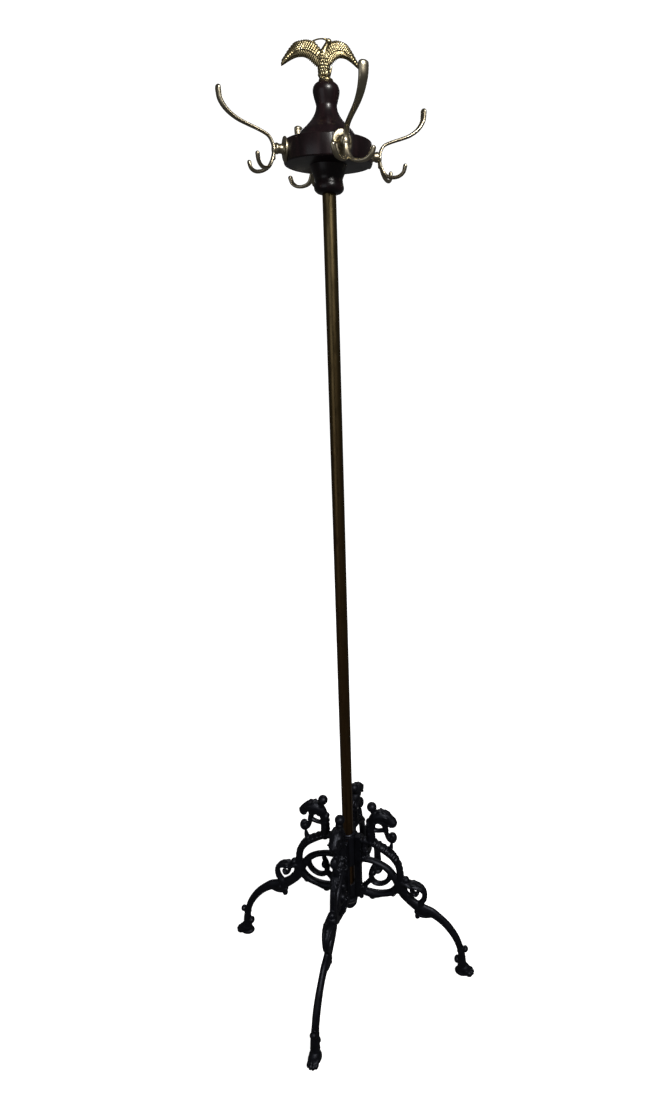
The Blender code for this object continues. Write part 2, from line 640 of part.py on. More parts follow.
def hook_screw(name, parts):
    """A dome-headed wood screw along +X, with x = 0 at the plate's back."""
    face = HOOK_PLATE_THICKNESS + GAP
    head = HOOK_SCREW_HEAD_RADIUS
    profile = [(0.0, face + 0.0016), (head * 0.6, face + 0.0012), (head, face + 0.0004),
               (head, face), (HOOK_SCREW_RADIUS, face), (HOOK_SCREW_RADIUS, -0.010),
               (0.0, -HOOK_SCREW_DEPTH)]
    screw = turned(name, profile, parts, 12)
    screw.data.transform(Matrix.Rotation(math.pi / 2, 4, "Y"))
    return screw


def make_hooks(parts, tools, brass, screw_brass):
    hook = hook_mesh(tools)
    for index, side in enumerate(SIDES):
        turn = side_turn(index, HOOK_TURN)
        copy = link_mesh(f"coat_hook_{side}", hook.data, parts)
        finish(copy, brass, outward(HOOK_BACK, HOOK_CENTRE_Z, turn), turn)
        for hand, offset in (("a", -HOOK_SCREW_OFFSET), ("b", HOOK_SCREW_OFFSET)):
            screw = hook_screw(f"hook_screw_{side}_{hand}", parts)
            place = Vector(outward(HOOK_BACK, HOOK_CENTRE_Z, turn))
            place += Vector((-math.sin(turn) * offset, math.cos(turn) * offset, 0))
            finish(screw, screw_brass, place, turn)
    bpy.data.objects.remove(hook, do_unlink=True)


# Bird finial -------------------------------------------------------------------------------------
# A wing's sections, in millimetres: out from the body, lower edge, upper edge and half thickness.
WING_STATIONS = [(-4, 14, 37, 6.0), (5, 18, 43, 6.0), (13, 23, 52, 5.4), (21, 29, 54, 4.8),
                 (30, 33.5, 54.7, 4.2), (38, 34, 53.5, 3.6), (46, 33, 50.5, 3.1), (53, 31, 46, 2.7),
                 (60, 28, 38.5, 2.2), (66, 24.5, 29, 1.2)]


def wing(hand, reach, sweep, tools):
    """A drooping wing: a loft of flat oval sections from the shoulder to the tip."""
    around = 8
    span = WING_STATIONS[-1][0]
    bm = bmesh.new()
    rings = []
    for out, low, high, thick in WING_STATIONS:
        middle, half = (low + high) / 2, (high - low) / 2
        back = sweep * (max(out, 0) / span) ** 2
        ring = []
        for i in range(around):
            a = 2 * math.pi * i / around
            ring.append(bm.verts.new((hand * reach * out * MM, back + thick * MM * math.sin(a),
                                      (middle + half * math.cos(a)) * MM)))
        rings.append(ring)
    for first, second in zip(rings, rings[1:]):
        for i in range(around):
            j = (i + 1) % around
            bm.faces.new((first[i], first[j], second[j], second[i]))
    bm.faces.new(rings[0])
    bm.faces.new(rings[-1])
    bmesh.ops.recalc_face_normals(bm, faces=bm.faces)
    return link_mesh("wing", mesh_from_bmesh("wing", bm), tools)


def make_bird(parts, tools, brass):
    """A perched bird with its wings out and a twig in its beak, at the origin and facing -Y."""
    seat = BIRD_SEAT_RADIUS
    body = turned("bird", [(0.0, 0.043), (0.006, 0.040), (0.0080, 0.031), (0.0088, 0.020),
                           (0.0098, 0.010), (seat, 0.004), (seat, 0.0), (0.0, 0.0)], tools, 16)
    twig = [(0.0085, -0.006, 0.0525), (0.002, -0.0085, 0.0535), (-0.006, -0.006, 0.0540),
            (-0.0145, -0.001, 0.0530)]
    pieces = [
        wing(-1, *LEFT_WING, tools),
        wing(1, *RIGHT_WING, tools),
        bar("neck", [(0.001, -0.001, 0.034), (0.004, -0.002, 0.044), (0.0085, -0.003, 0.0515)],
            [0.0060, 0.0045, 0.0036], tools),
        ball("head", (0.009, -0.003, 0.0515), (0.0052, 0.0055, 0.0047), tools, 10, 6),
        bar("twig", twig, [0.0026, 0.0015, 0.0012, 0.0012], tools),
        ball("tail", (0.003, 0.008, 0.016), (0.0085, 0.004, 0.0145), tools, 10, 6),
    ]
    for piece in pieces:
        piece.data.transform(Matrix.Translation((-BIRD_SHIFT, 0, 0)))
    bird = combine(body, pieces, "UNION")
    socket = rod("socket", ROD_RADIUS + FIT, (0, 0, -OVERRUN), (0, 0, ROD_THREAD_IN_BIRD + GAP),
                 tools)
    bird = combine(bird, [socket], "DIFFERENCE")
    bird.name = "bird_finial"
    tools.objects.unlink(bird)
    parts.objects.link(bird)
    finish(bird, brass, (0, 0, BIRD_BOTTOM), BIRD_TURN)


def main():
    clear_scene()
    parts = new_collection("standing_coat_rack")
    tools = new_collection("cutters")
    iron = principled("cast_iron", *IRON)
    tube_brass = principled("tube_brass", *TUBE_BRASS)
    hook_brass = principled("hook_brass", *HOOK_BRASS)
    bird_brass = principled("bird_brass", *HOOK_BRASS)
    screw_brass = principled("screw_brass", *SCREW_BRASS)
    steel = principled("steel", *STEEL)
    dark_wood = principled("dark_wood", *DARK_WOOD)

    make_legs(parts, tools, iron, steel)
    make_hubs(parts, tools, iron)
    make_pole(parts, tube_brass, steel)
    make_nut(parts, iron, steel)
    make_ferrule(parts, dark_wood)
    make_drum(parts, tools, dark_wood)
    make_vase(parts, dark_wood)
    make_hooks(parts, tools, hook_brass, screw_brass)
    make_bird(parts, tools, bird_brass)


main()
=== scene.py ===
"""The looks of a standing coat rack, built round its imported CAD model.

The legs, hooks, bird, turned wood and tube are modelled here in detail and stand for their plain CAD nodes.
Metres, in the same frame as the CAD: +Z up, the floor at z = 0, the tube on the Z axis.
"""
import math

import bmesh
import bpy
import numpy as np
from mathutils import Euler, Matrix, Vector


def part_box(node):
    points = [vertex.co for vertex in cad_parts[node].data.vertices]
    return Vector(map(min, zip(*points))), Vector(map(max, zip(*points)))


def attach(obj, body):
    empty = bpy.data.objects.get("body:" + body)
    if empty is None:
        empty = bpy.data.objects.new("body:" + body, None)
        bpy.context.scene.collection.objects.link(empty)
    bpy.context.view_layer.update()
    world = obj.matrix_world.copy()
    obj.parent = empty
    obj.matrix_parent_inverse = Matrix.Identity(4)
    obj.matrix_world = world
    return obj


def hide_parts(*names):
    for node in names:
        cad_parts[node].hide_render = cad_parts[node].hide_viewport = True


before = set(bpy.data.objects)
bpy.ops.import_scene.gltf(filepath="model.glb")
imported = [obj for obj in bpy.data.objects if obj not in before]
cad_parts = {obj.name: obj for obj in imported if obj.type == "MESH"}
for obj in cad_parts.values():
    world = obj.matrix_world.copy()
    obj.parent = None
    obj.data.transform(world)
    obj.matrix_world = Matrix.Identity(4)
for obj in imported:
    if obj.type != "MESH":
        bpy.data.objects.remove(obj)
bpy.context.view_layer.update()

MM = 0.001
SIDES = ("front", "right", "back", "left")
HOOK_TURN = math.radians(35.2)       # the head's turn from the legs
BIRD_TURN = math.radians(17.0)       # the way that the bird faces
SEGMENTS = 96                        # facets round the turned pieces
GAP = 0.0003                         # between pieces that touch, as in the CAD
FIT = 0.0004                         # radial clearance of a shaft in its hole
TUBE_WALL = 0.0015
ROD_HOLE = 0.0052                    # radius of the tie rod's hole in the iron
BORE_FLOOR = 0.1657                  # the step that the tube stands on
HUB_RIM_RISE = 0.006                 # the cast rim above the CAD hub's top
HUB_LIP = 0.005                      # height of the upper hub's rounded lip
FLANGE_THICKNESS = 0.010
FERRULE_SWELL = 0.024                # radii of the turned wood, as are the drum, bulb and neck
DRUM_RADIUS = 0.070
BULB_RADIUS = 0.021
NECK_RADIUS = 0.0165
FLAT_APOTHEM = 0.068                 # from the axis to the drum's flats
PLATE_SHARE = 0.5625                 # a plate's middle, as a share of the drum's height
PLATE_HALF_WIDTH = 15.5              # in millimetres, as are the next two
PLATE_HALF_HEIGHT = 18.0
HOOK_STEM = 19                       # from a plate's back to the middle of the strip
BIRD_SHIFT = 3.0                     # the wings' middle to one side of the seat, in millimetres
BIRD_SEAT = 11.4                     # radius of the turned foot under the bird


def side_turn(index, start=0.0):
    """The turn that brings +X to one of four directions, counted from -Y towards +X."""
    return start + index * math.pi / 2 - math.pi / 2


# Meshes ------------------------------------------------------------------------------------------
def new_object(name, bm):
    mesh = bpy.data.meshes.new(name)
    bm.to_mesh(mesh)
    bm.free()
    obj = bpy.data.objects.new(name, mesh)
    bpy.context.scene.collection.objects.link(obj)
    return obj


def bake(obj):
    """Apply an object's modifiers to its mesh."""
    bpy.context.view_layer.update()
    graph = bpy.context.evaluated_depsgraph_get()
    mesh = bpy.data.meshes.new_from_object(obj.evaluated_get(graph))
    obj.modifiers.clear()
    old = obj.data
    obj.data = mesh
    bpy.data.meshes.remove(old)
    return obj


def smooth_shade(obj, degrees=None):
    obj.data.shade_smooth()
    if degrees is not None:
        obj.data.set_sharp_from_angle(angle=math.radians(degrees))
    return obj


def spline(points, per_span):
    """Rows on a Catmull-Rom curve through the given rows of numbers."""
    rows = [np.array(p, float) for p in points]
    rows = [2 * rows[0] - rows[1]] + rows + [2 * rows[-1] - rows[-2]]
    path = []
    for a, b, c, d in zip(rows, rows[1:], rows[2:], rows[3:]):
        for step in range(per_span):
            t = step / per_span
            path.append(0.5 * (2 * b + (c - a) * t + (2 * a - 5 * b + 4 * c - d) * t ** 2
                               + (3 * b - a - 3 * c + d) * t ** 3))
    path.append(rows[-2])
    return path


def add_rings(bm, rings):
    """Skin a row of equal rings of points and close both ends."""
    loops = [[bm.verts.new(p) for p in ring] for ring in rings]
    count = len(loops[0])
    for first, second in zip(loops, loops[1:]):
        for i in range(count):
            j = (i + 1) % count
            bm.faces.new((first[i], first[j], second[j], second[i]))
    bm.faces.new(loops[0][::-1])
    bm.faces.new(loops[-1])


def add_stroke(bm, points, per_span=4, around=16, wide=(0, 1, 0)):
    """A round-ended bar through (x, y, z, depth, width), in millimetres.

    Width is measured along the wide direction, and depth across it.
    """
    path = spline(points, per_span)
    places = [Vector(row[:3]) * MM for row in path]
    sizes = [(abs(row[3]) * MM, abs(row[4]) * MM) for row in path]
    ways = []
    for i in range(len(places)):
        before, after = places[max(i - 1, 0)], places[min(i + 1, len(places) - 1)]
        ways.append((after - before).normalized())
    stations = []
    start_reach = min(sizes[0])
    for k in (0.98, 0.85, 0.6, 0.3):
        scale = math.sqrt(1 - k * k)
        stations.append((places[0] - ways[0] * start_reach * k, ways[0],
                         (sizes[0][0] * scale, sizes[0][1] * scale)))
    stations += list(zip(places, ways, sizes))
    end_reach = min(sizes[-1])
    for k in (0.3, 0.6, 0.85, 0.98):
        scale = math.sqrt(1 - k * k)
        stations.append((places[-1] + ways[-1] * end_reach * k, ways[-1],
                         (sizes[-1][0] * scale, sizes[-1][1] * scale)))
    rings = []
    for place, way, (depth, width) in stations:
        side = Vector(wide)
        side = (side - way * side.dot(way)).normalized()
        normal = way.cross(side)
        ring = []
        for i in range(around):
            a = 2 * math.pi * i / around
            ring.append(place + normal * depth * math.cos(a) + side * width * math.sin(a))
        rings.append(ring)
    add_rings(bm, rings)


def add_ball(bm, centre, radii, tilt=(0, 0, 0), around=16, rows=9):
    """An ellipsoid, in millimetres, turned about its own middle."""
    spin = Euler(tilt).to_matrix()
    middle = Vector(centre)
    rings = []
    for row in range(1, rows):
        up = math.pi * row / rows
        ring = []
        for i in range(around):
            a = 2 * math.pi * i / around
            point = Vector((radii[0] * math.sin(up) * math.cos(a), radii[1] * math.sin(up) * math.sin(a),
                            radii[2] * math.cos(up)))
            ring.append(bm.verts.new((spin @ point + middle) * MM))
        rings.append(ring)
    poles = [bm.verts.new((spin @ Vector((0, 0, z)) + middle) * MM) for z in (radii[2], -radii[2])]
    for first, second in zip(rings, rings[1:]):
        for i in range(around):
            j = (i + 1) % around
            bm.faces.new((first[i], second[i], second[j], first[j]))
    for i in range(around):
        j = (i + 1) % around
        bm.faces.new((poles[0], rings[0][i], rings[0][j]))
        bm.faces.new((poles[1], rings[-1][j], rings[-1][i]))


def add_torus(bm, centre, radius, thick, axis, steps, around=10):
    """A ring, in millimetres, round one axis through its centre."""
    spin = {"Y": Euler((math.pi / 2, 0, 0)), "Z": Euler()}[axis].to_matrix()
    loops = []
    for i in range(steps):
        a = 2 * math.pi * i / steps
        loop = []
        for j in range(around):
            b = 2 * math.pi * j / around
            out = radius + thick * math.cos(b)
            point = Vector((out * math.cos(a), out * math.sin(a), thick * math.sin(b)))
            loop.append(bm.verts.new((spin @ point + Vector(centre)) * MM))
        loops.append(loop)
    for i in range(steps):
        first, second = loops[i], loops[(i + 1) % steps]
        for j in range(around):
            k = (j + 1) % around
            bm.faces.new((first[j], second[j], second[k], first[k]))


def cast(name, bm, voxel, smoothing, floor=None):
    """Melt overlapping shapes into one skin, the way a casting blends its masses."""
    bmesh.ops.recalc_face_normals(bm, faces=bm.faces)
    obj = new_object(name, bm)
    remesh = obj.modifiers.new("Cast", "REMESH")
    remesh.mode = "VOXEL"
    remesh.voxel_size = voxel
    soften = obj.modifiers.new("Soften", "SMOOTH")
    soften.factor = 0.5
    soften.iterations = smoothing
    bake(obj)
    if floor is not None:
        for vert in obj.data.vertices:
            vert.co.z = max(vert.co.z, floor)
    return smooth_shade(obj)


def lathe(name, profile, steps=SEGMENTS, bored=False):
    """Turn a profile of (radius, z), in metres, about Z."""
    bm = bmesh.new()
    verts = [bm.verts.new((radius, 0.0, z)) for radius, z in profile]
    edges = [bm.edges.new(pair) for pair in zip(verts, verts[1:])]
    if bored:
        edges.append(bm.edges.new((verts[-1], verts[0])))
    bmesh.ops.spin(bm, geom=verts + edges, cent=(0, 0, 0), axis=(0, 0, 1), dvec=(0, 0, 0),
                   angle=2 * math.pi, steps=steps, use_merge=True)
    bmesh.ops.remove_doubles(bm, verts=bm.verts, dist=0.000005)
    bmesh.ops.recalc_face_normals(bm, faces=bm.faces)
    return smooth_shade(new_object(name, bm), 38)


def copies(first, names, turns, replaced):
    """Place one mesh several times, turned about the Z axis."""
    made = []
    for name, turn, node in zip(names, turns, replaced):
        obj = bpy.data.objects.new(name, first.data)
        bpy.context.scene.collection.objects.link(obj)
        obj.rotation_euler = (0, 0, turn)
        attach(obj, "root")
        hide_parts(node)
        made.append(obj)
    bpy.data.objects.remove(first)
    return made


# Materials ---------------------------------------------------------------------------------------
class Shade:
    """A small helper that builds one Principled material from nodes."""

    def __init__(self, name):
        self.material = bpy.data.materials.new(name)
        self.material.use_nodes = True
        self.nodes = self.material.node_tree.nodes
        self.links = self.material.node_tree.links
        self.shader = self.nodes["Principled BSDF"]
        self.place = self.nodes.new("ShaderNodeTexCoord").outputs["Object"]

    def set(self, **values):
        for key, value in values.items():
            self.shader.inputs[key.replace("_", " ")].default_value = value

    def link(self, output, name):
        self.links.new(output, self.shader.inputs[name])

    def stretched(self, scale):
        """Object coordinates, scaled along each axis."""
        mapping = self.nodes.new("ShaderNodeMapping")
        mapping.inputs["Scale"].default_value = scale
        self.links.new(self.place, mapping.inputs["Vector"])
        return mapping.outputs["Vector"]

    def noise(self, scale, detail=4.0, roughness=0.55, vector=None, distortion=0.0):
        node = self.nodes.new("ShaderNodeTexNoise")
        node.inputs["Scale"].default_value = scale
        node.inputs["Detail"].default_value = detail
        node.inputs["Roughness"].default_value = roughness
        node.inputs["Distortion"].default_value = distortion
        self.links.new(vector or self.place, node.inputs["Vector"])
        return node.outputs["Fac"]

    def ramp(self, value, stops):
        node = self.nodes.new("ShaderNodeValToRGB")
        elements = node.color_ramp.elements
        while len(elements) < len(stops):
            elements.new(0.5)
        for element, (position, colour) in zip(elements, stops):
            element.position = position
            element.color = (*colour, 1.0)
        self.links.new(value, node.inputs["Fac"])
        return node.outputs["Color"]

    def spread(self, value, low, high, out_low, out_high):
        """Map one range to another, with its ends held."""
        node = self.nodes.new("ShaderNodeMapRange")
        for key, number in zip(("From Min", "From Max", "To Min", "To Max"),
                               (low, high, out_low, out_high)):
            node.inputs[key].default_value = number
        self.links.new(value, node.inputs["Value"])
        return node.outputs["Result"]

    def mix(self, factor, first, second):
        """From the first colour to the second one, each of them a tuple or a socket."""
        node = self.nodes.new("ShaderNodeMix")
        node.data_type = "RGBA"
        self.links.new(factor, node.inputs[0])
        for socket, value in ((node.inputs[6], first), (node.inputs[7], second)):
            if isinstance(value, tuple):
                socket.default_value = (*value, 1.0)
            else:
                self.links.new(value, socket)
        return node.outputs[2]

    def sum(self, first, second, weight):
        """The first value and a share of the second one."""
        node = self.nodes.new("ShaderNodeMath")
        node.operation = "MULTIPLY_ADD"
        self.links.new(second, node.inputs[0])
        node.inputs[1].default_value = weight
        self.links.new(first, node.inputs[2])
        return node.outputs[0]

    def height(self):
        """Metres above the floor, which stay the same on a turned copy."""
        node = self.nodes.new("ShaderNodeSeparateXYZ")
        self.links.new(self.place, node.inputs[0])
        return node.outputs["Z"]

    def pointiness(self):
        return self.nodes.new("ShaderNodeNewGeometry").outputs["Pointiness"]

    def bump(self, value, strength, distance):
        node = self.nodes.new("ShaderNodeBump")
        node.inputs["Strength"].default_value = strength
        node.inputs["Distance"].default_value = distance
        self.links.new(value, node.inputs["Height"])
        self.links.new(node.outputs["Normal"], self.shader.inputs["Normal"])


def iron_material(name, grain):
    """Satin black paint over sand-cast iron, rubbed on its edges and dusty in patches."""
    shade = Shade(name)
    mottle = shade.noise(90.0, 5.0)
    base = shade.ramp(mottle, [(0.30, (0.0012, 0.0012, 0.0018)), (0.70, (0.0034, 0.0035, 0.0056))])
    edge = shade.spread(shade.pointiness(), 0.53, 0.60, 0.0, 1.0)
    rubbed = shade.mix(edge, base, (0.012, 0.0125, 0.019))
    dust = shade.spread(shade.noise(260.0, 3.0), 0.55, 0.75, 0.0, 0.35)
    shade.link(shade.mix(dust, rubbed, (0.006, 0.006, 0.009)), "Base Color")
    shade.link(shade.spread(mottle, 0.3, 0.7, 0.34, 0.52), "Roughness")
    sand = shade.sum(shade.noise(900.0, 3.0), shade.noise(220.0, 4.0), 0.8)
    shade.bump(sand, grain, 0.0006)
    shade.set(Metallic=0.0, Specular_IOR_Level=0.30, Specular_Tint=(0.80, 0.84, 1.0, 1.0))
    return shade.material


def tube_material():
    """A thin brass tube: olive gold near the top, brown towards the base, with long scratches."""
    shade = Shade("aged_tube_brass")
    low, high = (corner.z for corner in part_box("pole_tube"))
    upward = shade.spread(shade.height(), low, high, 0.0, 1.0)
    tone = shade.ramp(upward, [(0.0, (0.165, 0.088, 0.038)), (0.35, (0.140, 0.076, 0.030)),
                               (0.75, (0.120, 0.080, 0.034)), (1.0, (0.175, 0.135, 0.062))])
    streaks = shade.noise(9.0, 6.0, 0.65, shade.stretched((70.0, 70.0, 2.2)))
    blotches = shade.noise(16.0, 5.0, 0.6, shade.stretched((3.0, 3.0, 1.0)), 0.6)
    worn = shade.mix(shade.spread(streaks, 0.45, 0.70, 0.0, 0.45), tone, (0.19, 0.145, 0.070))
    stained = shade.mix(shade.spread(blotches, 0.52, 0.68, 0.0, 0.6), worn, (0.030, 0.017, 0.009))
    shade.link(stained, "Base Color")
    shade.link(shade.spread(blotches, 0.3, 0.7, 0.22, 0.42), "Roughness")
    fine = shade.noise(14.0, 4.0, 0.6, shade.stretched((260.0, 260.0, 5.0)))
    shade.bump(fine, 0.12, 0.0004)
    shade.set(Metallic=1.0)
    return shade.material


def brass_material(name, lit_tone, shadow, hollow_darkening, pitting, patches):
    """Polished cast brass, mottled between a lit tone and a painted shadow tone, and darker brown in its
    hollows by the given share.
    """
    shade = Shade(name)
    mottle = shade.noise(patches, 4.0, 0.55)
    # Painted light: random patches of a lit tone and a painted shadow tone of the same brass.
    lit_and_shaded = shade.mix(shade.spread(mottle, 0.42, 0.66, 0.0, 0.75), lit_tone, shadow)
    if hollow_darkening:
        # Darker brown where the surface is hollow, by the given share.
        hollow = shade.spread(shade.pointiness(), 0.500, 0.455, 0.0, hollow_darkening)
        lit_and_shaded = shade.mix(hollow, lit_and_shaded, (0.020, 0.012, 0.006))
    shade.link(lit_and_shaded, "Base Color")
    shade.link(shade.spread(mottle, 0.35, 0.7, 0.27, 0.38), "Roughness")
    pits = shade.sum(shade.noise(700.0, 2.0), shade.noise(160.0, 4.0), 0.7)
    shade.bump(pits, pitting, 0.0004)
    shade.set(Metallic=1.0)
    return shade.material


def wood_material():
    """Dark red-brown wood with faint rings and pores under a thin satin varnish."""
    shade = Shade("varnished_mahogany")
    rings = shade.noise(7.0, 5.0, 0.6, shade.stretched((9.0, 9.0, 1.3)), 1.4)
    grain = shade.ramp(rings, [(0.30, (0.0036, 0.0015, 0.0022)), (0.52, (0.0088, 0.0034, 0.0046)),
                               (0.72, (0.0180, 0.0070, 0.0082))])
    pores = shade.noise(60.0, 3.0, 0.7, shade.stretched((14.0, 14.0, 1.0)))
    shade.link(shade.mix(shade.spread(pores, 0.60, 0.72, 0.0, 0.7), grain, (0.004, 0.002, 0.002)),
               "Base Color")
    wear = shade.noise(30.0, 4.0)
    shade.link(shade.spread(wear, 0.3, 0.7, 0.26, 0.38), "Roughness")
    shade.bump(shade.noise(45.0, 3.0, 0.5, shade.stretched((6.0, 6.0, 1.0))), 0.05, 0.0006)
    shade.set(Coat_Weight=0.15, Coat_Roughness=0.16, Specular_IOR_Level=0.40)
    return shade.material


def steel_material(name, colour, dark):
    """Turned steel with a little brown film."""
    shade = Shade(name)
    film = shade.noise(300.0, 4.0)
    shade.link(shade.mix(shade.spread(film, 0.4, 0.7, 0.0, 0.8), colour, dark), "Base Color")
    shade.link(shade.spread(film, 0.3, 0.7, 0.28, 0.46), "Roughness")
    shade.bump(shade.noise(900.0, 2.0), 0.08, 0.0003)
    shade.set(Metallic=1.0)
    return shade.material


def stage_material():
    """A white paper floor that glows a little, so that it stays pale under soft light."""
    shade = Shade("studio_paper")
    tone = shade.noise(1.5, 2.0)
    shade.link(shade.ramp(tone, [(0.0, (0.86, 0.86, 0.86)), (1.0, (0.90, 0.90, 0.90))]), "Base Color")
    shade.set(Roughness=0.9, Specular_IOR_Level=0.0, Emission_Color=(1.0, 1.0, 1.0, 1.0),
              Emission_Strength=0.97)
    return shade.material


def dress(obj, material):
    """Give a piece its only material."""
    obj.data.materials.clear()
    obj.data.materials.append(material)


# Cast iron legs ----------------------------------------------------------------------------------
# Bars of the casting, as (outward, up, half depth in the leg's plane, half width across it), in
# millimetres. The main bar is the arch, the knee, the shin and the ankle.
MAIN_BAR = [(30, 306, 7, 8), (46, 305, 7.4, 9), (62, 299.5, 7.9, 10), (81, 288.5, 8.6, 10),
            (91, 281, 8.7, 9.5), (99, 272.5, 8.4, 8.6), (108, 257, 7.6, 7.4), (111.5, 241, 7.2, 7.2),
            (113, 224, 7.8, 7.4), (114, 207, 11, 8.2), (119, 187, 11, 8.4), (133, 171, 10.5, 8.2),
            (150, 158, 12, 7.8), (166, 150, 13.6, 7.5), (180, 147, 12, 7.3), (192, 140, 10.2, 7.0),
            (203, 131.5, 9.4, 7.0), (214, 121, 9, 7.3), (227, 104, 8.3, 7.7), (236, 88, 7.8, 7.9),
            (242, 72, 7.4, 7.8), (246, 57, 7.4, 8.8), (248, 42, 8.4, 9.4), (248.5, 25, 9.5, 10)]
# The small scroll, broad across its outer face.
SCROLL_BAR = [(114, 214, 7, 8), (122, 215, 6.4, 10.5), (134, 210.8, 5.6, 12.6),
              (147, 210.2, 5.4, 12.4), (158, 205.5, 5.2, 10.6), (164.4, 196, 5.2, 8.6),
              (165, 185, 5.2, 7.6), (162, 174, 5.8, 7.4), (156, 164, 7, 7.4)]
SIDE_BARS = [
    # root of the arch
    [(34, 270, 7, 7), (35, 290, 7, 8), (36, 308, 6, 8)],
    # neck, skull and snout
    [(51.5, 302, 9.5, 9), (50.5, 318, 9.6, 8.5), (50.5, 334, 9.3, 7.5), (52, 350, 9.3, 8),
     (58, 365, 11, 11), (69, 374, 11.5, 13), (81, 374, 10.5, 12.5), (91, 367, 9.8, 10.5),
     (97, 360, 9.6, 9.4), (97, 357.5, 9.0, 8.8)],
    [(66, 364, 9, 10), (76, 360, 9, 9.5), (80.5, 349, 6.2, 6), (84, 338, 5, 5.5)],
    [(54, 335.5, 5, 6.5), (66, 335, 4.2, 5.5), (79, 339, 5, 5.5)],
    # lower jaw, whose end curls up
    [(81, 342, 5, 5.5), (84, 331, 4.8, 6), (89, 321, 6, 7), (96.5, 316.5, 6.3, 8),
     (101, 322, 5.5, 8), (99, 329.5, 4.8, 7), (94, 331, 3.6, 5.5)],
    # stem under the crest ball
    [(60, 374, 7.0, 9), (54.5, 386, 6.6, 7.5)],
    # leaf on the arch
    [(90, 286, 6, 8), (93.5, 299, 4.6, 6), (94.5, 308.5, 2.6, 4)],
    # strut, ring and lower strut
    [(27, 257, 6.5, 7), (45, 257.5, 6.2, 7.2), (60, 254.5, 5.8, 7.5), (75, 248.5, 6.4, 8),
     (88, 239, 7.4, 8.5), (99, 225, 7.7, 8.5), (107, 208, 8, 8.5)],
    [(91, 232, 5.8, 7.5), (89, 218, 5.6, 7.5), (81, 206.5, 4.9, 7.2), (69, 200, 4.6, 7),
     (57, 201.5, 5, 7.5), (50.5, 210, 5.6, 8), (49.5, 222, 6.0, 8.5), (51.5, 234, 5.0, 8),
     (56.5, 246, 3.8, 6.5)],
    [(50, 209, 5.4, 7.5), (40, 196, 5.2, 7.5), (33, 184, 6, 7.5)],
    [(27, 174, 7.5, 8), (42, 172.5, 9.2, 8.5), (56, 171, 9.6, 9), (72, 174.7, 7.0, 8.5),
     (88, 180, 7.0, 8.5), (101, 189, 9, 8.5), (110, 202, 9, 8.5)],
    # curl of the small scroll
    [(137, 209, 4, 7.5), (137, 199, 4, 7), (140.5, 190, 4.4, 7.2), (147, 187, 4.4, 7.2),
     (150.5, 192, 4, 6.5)],
    # leaf under the knee
    [(148, 143, 5, 6.5), (158, 137, 5.5, 7), (170, 136, 4.2, 6.5), (181, 138, 3.0, 5)],
    [(152, 143, 5, 6.5), (150.8, 133, 4.6, 6)],
]
# Round masses, as (centre, half sizes).
LEG_BALLS = [
    ((53, 0, 391), (10.6, 10.6, 10.4)),      # crest
    ((97, 0, 321), (8.2, 8.6, 9.4)),         # end of the jaw
    ((54.5, 0, 228), (7, 10.5, 8.5)),        # bulb of the ring's curl
    ((52, 0, 163.5), (8, 8, 4.5)),           # under the lower strut
    ((97, 0, 179.5), (7, 7.5, 6)),
    ((27, 0, 158.5), (5, 5.5, 5)),
    ((125, 0, 221), (7.6, 8.5, 7.6)),        # on the small scroll
    ((160, 7, 151), (3.8, 3.6, 3.8)),        # beside and under the knee
    ((150.5, 0, 131.5), (6, 6.8, 6)),
    ((255, 0, 66), (6.3, 7.6, 6.8)),         # ankle and heel
    ((238, 0, 35), (6.5, 8.6, 8)),
]


def path_frame(path, i):
    """A point of a bar, its heading and the direction across it, in the leg's plane."""
    here, ahead = path[i], path[i + 1]
    way = math.atan2(ahead[1] - here[1], ahead[0] - here[0])
    return here, way, np.array([-math.sin(way), math.cos(way)])


def leaf_lobes(bm):
    """Acanthus lobes on the arch, flutes down the upright bar and on the small scroll."""
    path = spline(MAIN_BAR, 4)
    for i in range(5, 22, 2):
        here, way, out = path_frame(path, i)
        for hand in (-1, 1):
            side = here[:2] + out * here[2] * 0.30
            add_ball(bm, (side[0], hand * (here[3] - 1.3), side[1]), (3.4, 2.9, 3.8),
                     (0, -way, hand * 0.35))
            face = here[:2] + out * here[2] * 0.76
            add_ball(bm, (face[0], hand * 4.6, face[1]), (3.6, 2.6, 2.4), (0, -way, hand * 0.5))
        here, way, out = path_frame(path, i + 1)
        ridge = here[:2] + out * here[2] * 0.84
        add_ball(bm, (ridge[0], 0, ridge[1]), (3.8, 2.0, 2.0), (0, -way, 0))
    for i in range(21, 44, 3):
        here, way, out = path_frame(path, i)
        for hand in (-1, 1):
            side = here[:2] + out * here[2] * 0.82
            add_ball(bm, (side[0], hand * 3.6, side[1]), (7.5, 1.9, 2.0), (0, -way, hand * 0.16))
    scroll = spline(SCROLL_BAR, 6)
    for i in range(16, 42, 4):
        here, way, out = path_frame(scroll, i)
        for share, tall in ((-0.62, 1.2), (0.0, 1.9), (0.62, 1.2)):
            side = here[:2] + out * here[2] * (0.92 - 0.25 * abs(share))
            add_ball(bm, (side[0], here[3] * share, side[1]), (5.4, 1.7, tall), (0, -way, 0))
    here, way, out = path_frame(scroll, 18)
    for hand in (-1, 1):
        add_ball(bm, (here[0] - 6, hand * 9.5, here[1] + 2), (3.4, 3.4, 3.4))


def rosettes(bm):
    """A small flower on each face, where the arch meets the back bar."""
    for hand in (-1, 1):
        for r, up, size in ((37, 284, 1.0), (36, 262, 0.8), (35, 186, 0.8)):
            add_ball(bm, (r, hand * 8.0, up), (3.0 * size, 2.6, 3.0 * size))
            for i in range(6):
                a = 2 * math.pi * i / 6
                centre = (r + 5.6 * size * math.cos(a), hand * 7.2, up + 5.6 * size * math.sin(a))
                add_ball(bm, centre, (3.6 * size, 2.4, 2.4 * size), (0, -a, 0))


